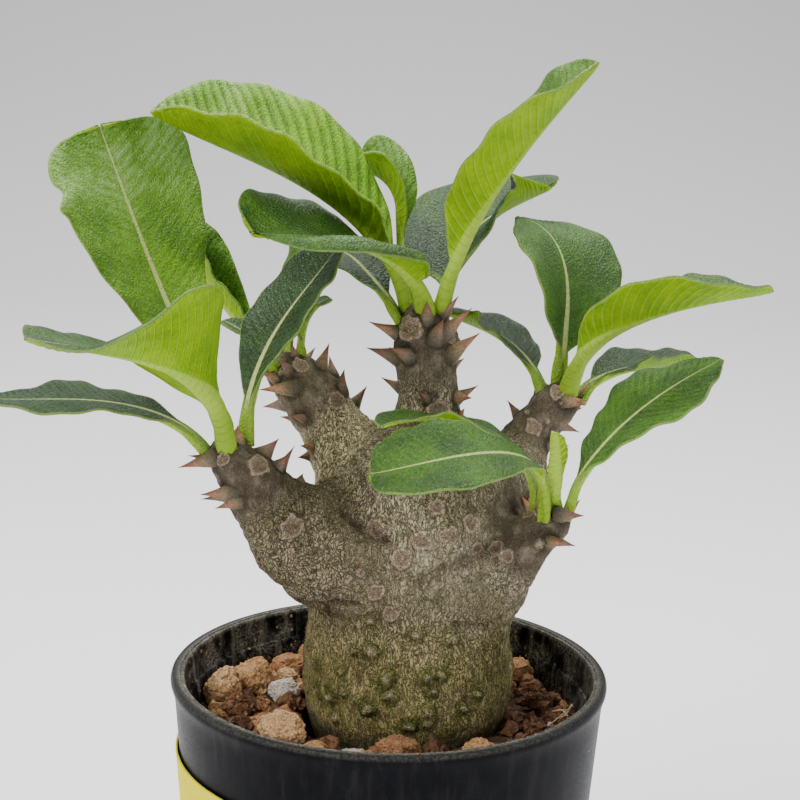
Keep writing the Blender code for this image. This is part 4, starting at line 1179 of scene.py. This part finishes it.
def pitch_at(name, pitches, share):
    start, turn = CURLS.get(name, (0.0, 0.0))
    return three_point(pitches, share) + turn * np.maximum(0.0, share - start) / (1.0 - start)


def headings(bearings, pitches):
    b, p = np.radians(bearings), np.radians(pitches)
    return np.stack([np.cos(p) * np.cos(b), np.cos(p) * np.sin(b), np.sin(p)], axis=-1)


def half_widths(share, width, bluntness, slimness):
    run = np.clip((share - STALK_SHARE) / (1 - STALK_SHARE), 0.0, 1.0)
    peak = slimness / (slimness + bluntness)
    return width * (run / peak) ** slimness * ((1 - run) / (1 - peak)) ** bluntness


def half_section(values):
    """Adds up a value from the midrib out to both margins, row by row of the grid."""
    rows = values.reshape(LEAF_ROWS + 1, LEAF_COLUMNS + 1)
    middle = LEAF_COLUMNS // 2
    total = np.zeros_like(rows)
    for step in range(1, middle + 1):
        for way in (-1, 1):
            here, before = middle + way * step, middle + way * (step - 1)
            total[:, here] = total[:, before] + (rows[:, here] + rows[:, before]) / 2 / middle
    return total.ravel()


def grow_leaf(name, seat, bearings, pitches, length, width, rolls, left, right,
              bluntness, slimness, stalk, tone, quilting):
    bpy.ops.mesh.primitive_grid_add(x_subdivisions=LEAF_COLUMNS, y_subdivisions=LEAF_ROWS, size=1.0)
    leaf = bpy.context.object
    leaf.name = "leaf_" + name + "_blade"
    flat = points_of(leaf) * MM
    side, share = 2 * flat[:, 0], 1 - (1 - np.clip(flat[:, 1] + 0.5, 0, 1)) ** 1.2

    fine = np.linspace(0.0, 1.0, MIDRIB_STEPS + 1)
    middle = (fine[1:] + fine[:-1]) / 2
    steps = headings(three_point(bearings, middle), pitch_at(name, pitches, middle))
    *tip, tip_radius = LIMBS[name[:-2]][-1]
    start = np.array(tip) + headings(*seat) * (tip_radius + SEAT_GAP)
    line = np.concatenate([[start], start + np.cumsum(steps * length / MIDRIB_STEPS, axis=0)])
    spot = np.stack([np.interp(share, fine, line[:, k]) for k in range(3)], axis=-1)

    bearing, pitch = three_point(bearings, share), pitch_at(name, pitches, share)
    along, above = headings(bearing, pitch), headings(bearing, pitch + 90)
    across = np.cross(along, above)
    roll = np.radians(rolls[0] + (rolls[1] - rolls[0]) * share)[:, None]
    across, above = (across * np.cos(roll) + above * np.sin(roll),
                     above * np.cos(roll) - across * np.sin(roll))

    blade = half_widths(share, width, bluntness, slimness)
    reach = np.maximum(np.maximum(blade, stalk * (1 - share) ** 2), 0.5)
    sign = np.sign(side)
    for nicked, nick_side, nick_at, nick_wide, nick_deep in NICKS:
        if nicked == name:
            reach -= nick_deep * np.exp(-((share - nick_at) / nick_wide) ** 2) * (sign == nick_side)
    out = np.abs(side)
    full = np.minimum(1.0, blade / WAVE_FULL)
    folds = np.where(side < 0, left[0] + (left[1] - left[0]) * share,
                     right[0] + (right[1] - right[0]) * share)
    edge_roll = ROLLED_MARGINS.get(name, USUAL_ROLL)
    rolled = np.where(side < 0, edge_roll[0], edge_roll[1]) * full * ease(0.62, 1.0, out)
    slope = np.radians(folds * ease(0.0, 0.12, out) - rolled)
    flat_run, rise_run = half_section(np.cos(slope)), half_section(np.sin(slope))
    normal = above * np.cos(slope)[:, None] - across * (sign * np.sin(slope))[:, None]
    phase = 2 * np.pi * WAVE_COUNT * share + len(name) + width
    wave = WAVE_HEIGHT * full * np.sin(phase) * sign * out ** 1.5
    ripple = RIPPLE_HEIGHT * quilting * full * out ** 4 * np.sin(2.6 * phase + 1.3 * sign)
    sag = -HALF_SAG * blade * 4 * out * (1 - out)
    from_rib = out * reach
    spacing = (0.75 + 0.021 * length) * (0.82 + 0.20 * quilting)
    vein = (share * length - VEIN_SLANT * from_rib - 0.010 * from_rib ** 2) / spacing + 0.23 * sign
    puff = np.abs(np.sin(np.pi * vein)) * np.clip(from_rib / 2.5, 0, 1) * ease(1.0, 0.8, out)
    puff *= QUILT_HEIGHT * quilting * full
    groove = -GROOVE_DEPTH * full * np.exp(-(from_rib / GROOVE_WIDTH) ** 2)
    lift = wave + ripple + sag + puff + groove
    shape = (spot + across * (sign * flat_run * reach)[:, None] + above * (rise_run * reach)[:, None]
             + normal * lift[:, None])
    root = np.clip(1 - share / 0.02, 0, 1)[:, None]
    put_points(leaf, shape - along * root * SEAT_DEPTH)

    flesh = BLADE_THICKNESS + (MARGIN_THICKNESS - BLADE_THICKNESS) * ease(0.7, 1.0, out)
    flesh += 0.5 * np.clip(1 - share / STALK_SHARE, 0, 1) * (out > 0.2)
    keel = KEEL_DEPTH * (1 - share) ** 1.3 * min(1.0, stalk / 1.5)
    keel = keel * np.exp(-(from_rib / KEEL_WIDTH) ** 2)
    depth = (flesh + keel) / (BLADE_THICKNESS + KEEL_DEPTH)
    group = leaf.vertex_groups.new(name="flesh")
    for k, value in enumerate(depth):
        group.add([k], float(min(value, 1.0)), "REPLACE")
    for mark, values in {"from_rib": side * reach, "vein_row": vein, "to_margin": reach - from_rib,
                         "share": share, "tone": tone, "quilting": quilting}.items():
        put_mark(leaf, mark, values)
    leaf.data.materials.append(leaf_upper)
    leaf.data.materials.append(leaf_under)
    apply_modifier(leaf, "SOLIDIFY", thickness=(BLADE_THICKNESS + KEEL_DEPTH) * MM, offset=-1.0,
                   vertex_group="flesh", material_offset=1, material_offset_rim=0)
    leaf.vertex_groups.clear()
    settle(leaf)
    bpy.ops.object.shade_smooth()
    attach(leaf, "root")
    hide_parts("leaf_" + name)


def leaf_marks_group():
    """From a leaf's own marks: how far off the midrib, between two side veins, and on the stalk."""
    group, (from_rib, vein_row, share), result = new_group(
        "leaf_marks", {"From Rib": "Float", "Vein Row": "Float", "Share": "Float"},
        {"Off Rib": "Float", "Vein Gap": "Float", "Stalk": "Float"})
    feed(group, result, {
        "Off Rib": calc(group, "ABSOLUTE", from_rib),
        "Vein Gap": calc(group, "PINGPONG", vein_row, 0.5), "Stalk": share.fade(0.22, 0.08)})
    return group


def pebbles_group():
    """The fine raised cells of a leathery leaf: their height, and the lines between them."""
    group, (place, scale), result = new_group(
        "leaf_pebbles", {"Place": "Vector", "Scale": "Float"}, {"Humps": "Float", "Lines": "Float"})
    inputs = {"Vector": place, "Scale": scale}
    cells = add(group, "ShaderNodeTexVoronoi", inputs, feature="DISTANCE_TO_EDGE")
    feed(group, result, {"Humps": cells.fade(0.0, 0.35), "Lines": cells.fade(0.12, 0.0)})
    return group


leaf_marks = leaf_marks_group()
leaf_pebbles = pebbles_group()


def marks_on(tree):
    """Off the midrib, between side veins, on the stalk, to the margin, share, tone, quilting."""
    from_rib, vein_row, to_margin, share, tone, quilting = [
        mark_on(tree, name)
        for name in ("from_rib", "vein_row", "to_margin", "share", "tone", "quilting")]
    inputs = {"From Rib": from_rib, "Vein Row": vein_row, "Share": share}
    found = add(tree, "ShaderNodeGroup", inputs, ("Off Rib", "Vein Gap", "Stalk"), node_tree=leaf_marks)
    return *found, to_margin, share, tone, quilting


def pebbles(place, scale):
    inputs = {"Place": place, "Scale": scale}
    return add(place.tree, "ShaderNodeGroup", inputs, ("Humps", "Lines"), node_tree=leaf_pebbles)


def leaf_upper_material():
    made, tree, shader = new_material("leaf_upper")
    place = millimetres(tree)
    off, vein_gap, stalk, to_margin, share, tone, quilting = marks_on(tree)
    cloud = place.noise(0.11, 4.0, 0.6)
    mottle = place.noise(0.75, 5.0, 0.65)
    speckle = place.noise(2.6, 3.0, 0.65)
    humps, lines = pebbles(place, 1.35)
    # The leaf's tone, partly its own green and partly painted light, sets the body colour.
    body = (tone + cloud.fade(0.3, 0.7, -0.10, 0.10)).ramp(
        (0.0, 0.010, 0.030, 0.005), (0.20, 0.022, 0.060, 0.010), (0.50, 0.066, 0.172, 0.008),
        (0.75, 0.170, 0.370, 0.008), (1.0, 0.330, 0.550, 0.030))
    lighter = body.mix(1.0, (1.60, 1.45, 1.9), "MULTIPLY")
    darker = body.mix(1.0, (0.46, 0.54, 0.40), "MULTIPLY")
    body = body.mix(mottle.fade(0.45, 0.75, 0.0, 0.60), lighter)
    body = body.mix(mottle.fade(0.48, 0.25, 0.0, 0.55), darker)
    body = body.mix(lines * 0.22, lighter)
    quilted = quilting.fade(0.9, 1.5)
    # Painted shade in the valleys by the side veins and painted light on the puffs between them.
    body = body.mix(vein_gap.fade(0.24, 0.05) * quilted * 0.62, darker)
    body = body.mix(vein_gap.fade(0.24, 0.44) * quilted.fade(0.0, 1.0, 0.24, 0.62), lighter)
    vein = vein_gap.fade(0.09, 0.01) * mottle.fade(0.35, 0.6, 0.25, 1.0)
    body = body.mix(vein * quilting.fade(1.5, 1.7, 0.16, 0.75), (0.300, 0.470, 0.120))
    # Painted highlights: fine glints and a broad sheen towards the tip.
    painted_glint = speckle.fade(0.54, 0.70) * tone.fade(0.1, 0.8, 0.20, 0.62)
    painted_glint = painted_glint * share.fade(0.25, 0.95, 0.55, 1.0)
    painted_sheen = share.fade(0.55, 0.95) * cloud.fade(0.42, 0.62) * mottle.fade(0.38, 0.56, 0.30, 1.0)
    painted_sheen = painted_sheen * vein_gap.fade(0.06, 0.34, 0.35, 1.0) * tone.fade(0.3, 0.7, 0.0, 0.48)
    body = body.mix(calc(tree, "MAXIMUM", painted_glint, painted_sheen), (0.400, 0.520, 0.330))
    body = body.mix(to_margin.fade(0.32, 0.08) * 0.45, (0.330, 0.460, 0.095))
    rib_foot = tone.fade(0.35, 0.60, 0.56, 1.05)
    rib = (off - (rib_foot - share * rib_foot + 0.08)).fade(0.12, -0.14)
    body = body.mix(rib * tone.fade(0.25, 0.60, 0.70, 0.95), (0.660, 0.740, 0.260))
    relief = speckle * 0.9 + humps * 0.8 + mottle * 0.8 - vein * 0.5
    feed(tree, shader, {
        "Base Color": body.mix(stalk, (0.230, 0.370, 0.030)),
        "Roughness": speckle.fade(0.35, 0.65, 0.26, 0.50) + rib * 0.1,
        "Specular IOR Level": 0.30, "Normal": relief.bump(0.9, 0.22)})
    return made


def leaf_under_material():
    made, tree, shader = new_material("leaf_under")
    place = millimetres(tree)
    off, vein_gap, stalk, to_margin, share, tone, quilting = marks_on(tree)
    mottle = place.noise(0.9, 5.0, 0.65)
    humps, lines = pebbles(place, 1.6)
    body = (place.noise(0.13, 4.0, 0.6) + mottle.fade(0.3, 0.7, -0.10, 0.10)).ramp(
        (0.28, 0.140, 0.280, 0.001), (0.5, 0.220, 0.385, 0.001), (0.72, 0.310, 0.480, 0.002))
    # Leaves of darker tone, partly painted shade, are darker below too.
    body = body.mix(tone.fade(0.6, 0.1, 0.0, 0.8), body.mix(1.0, (0.80, 0.90, 1.0), "MULTIPLY"))
    body = body.mix(lines * 0.20, (0.150, 0.290, 0.004))
    vein = vein_gap.fade(0.14, 0.02)
    body = body.mix(vein * quilting.fade(1.5, 1.7, 0.30, 0.85), (0.420, 0.570, 0.050))
    shade = vein_gap.fade(0.12, 0.30, 0.24, 0.0) * vein_gap.fade(0.06, 0.12)
    body = body.mix(shade, (0.120, 0.260, 0.002))
    body = body.mix(to_margin.fade(0.5, 0.12) * 0.22, (0.480, 0.620, 0.140))
    rib = (off - (1.5 - share * 1.25)).fade(0.22, -0.22)
    body = body.mix(rib * 0.70, (0.400, 0.560, 0.070))
    relief = vein * 1.6 + mottle * 0.9 + humps * 0.5
    feed(tree, shader, {
        "Base Color": body.mix(stalk, (0.250, 0.395, 0.025)),
        "Roughness": mottle.fade(0.3, 0.7, 0.48, 0.64),
        "Specular IOR Level": 0.10, "Normal": relief.bump(0.6, 0.20)})
    return made


leaf_upper = leaf_upper_material()
leaf_under = leaf_under_material()
for row in LEAVES:
    grow_leaf(*row)

# Studio. A pale sweep of paper under and behind the pot, a broad soft light high on the left,
# a weaker one on the right and one from behind and above, in an even grey surround. In metres.
SWEEP_FRONT = 1.2
SWEEP_BACK = 0.9
SWEEP_WIDTH = 4.0
SWEEP_HEIGHT = 1.6
SWEEP_BEND = 0.6
SWEEP_BEND_SIDES = 24


def sweep_paper_material():
    made, tree, shader = new_material("sweep_paper")
    _, y, z = add(tree, "ShaderNodeSeparateXYZ", {"Vector": millimetres(tree)}, (0, 1, 2))
    # Painted light: the sweep is painted darker towards the back and top, and its near part glows.
    far = (y + z).fade(150.0, 1250.0)
    feed(tree, shader, {
        "Base Color": far.ramp(
            (0.0, 0.96, 0.96, 0.975), (0.45, 0.64, 0.64, 0.655), (1.0, 0.44, 0.44, 0.455)),
        "Roughness": 0.9, "Emission Color": far.ramp((0.0, 0.29, 0.29, 0.29), (0.5, 0.0, 0.0, 0.0)),
        "Emission Strength": 1.0})
    return made


def ends_of(edge):
    return [sweep.data.vertices[v].co for v in edge.vertices]


bpy.ops.mesh.primitive_plane_add(size=1.0)
sweep = bpy.context.object
sweep.name = "paper_sweep"
with editing():
    bpy.ops.transform.resize(value=(SWEEP_WIDTH, SWEEP_FRONT + SWEEP_BACK, 1.0))
    bpy.ops.transform.translate(value=(0.0, (SWEEP_BACK - SWEEP_FRONT) / 2, 0.0))
pick(sweep.data.edges, lambda edge: all(end.y > SWEEP_BACK - 0.01 for end in ends_of(edge)))
bpy.ops.mesh.select_mode(type="EDGE")
bpy.ops.mesh.extrude_edges_move(TRANSFORM_OT_translate={"value": (0.0, 0.0, SWEEP_HEIGHT)})
bpy.ops.object.mode_set(mode="OBJECT")
pick(sweep.data.edges, lambda edge: all(
    end.y > SWEEP_BACK - 0.01 and end.z < 0.01 for end in ends_of(edge)))
bpy.ops.mesh.bevel(offset=SWEEP_BEND, segments=SWEEP_BEND_SIDES, affect="EDGES")
bpy.ops.object.mode_set(mode="OBJECT")
dress(sweep, sweep_paper_material())


def soft_light(name, place, aim, size, power, colour):
    bpy.ops.object.light_add(type="AREA", location=place)
    light = bpy.context.object
    light.name = name
    light.rotation_euler = (Vector(aim) - Vector(place)).to_track_quat("-Z", "Y").to_euler()
    light.data.shape = "RECTANGLE"
    light.data.size, light.data.size_y = size
    light.data.energy = power
    light.data.color = colour


soft_light("key_light", (-0.55, -0.45, 0.80), (0.0, 0.0, 0.13), (0.6, 0.5), 11.5, (1.0, 0.98, 0.95))
soft_light("fill_light", (0.75, -0.55, 0.45), (0.0, 0.0, 0.12), (0.6, 0.6), 3.4, (0.97, 0.98, 1.0))
soft_light("top_light", (0.10, 0.35, 0.85), (0.0, 0.0, 0.15), (0.6, 0.5), 8.0, (1.0, 1.0, 1.0))
surround = bpy.data.worlds.new("even_surround")
surround.use_nodes = True
surround.node_tree.nodes["Background"].inputs["Color"].default_value = (0.80, 0.82, 0.85, 1.0)
surround.node_tree.nodes["Background"].inputs["Strength"].default_value = 0.50
bpy.context.scene.world = surround
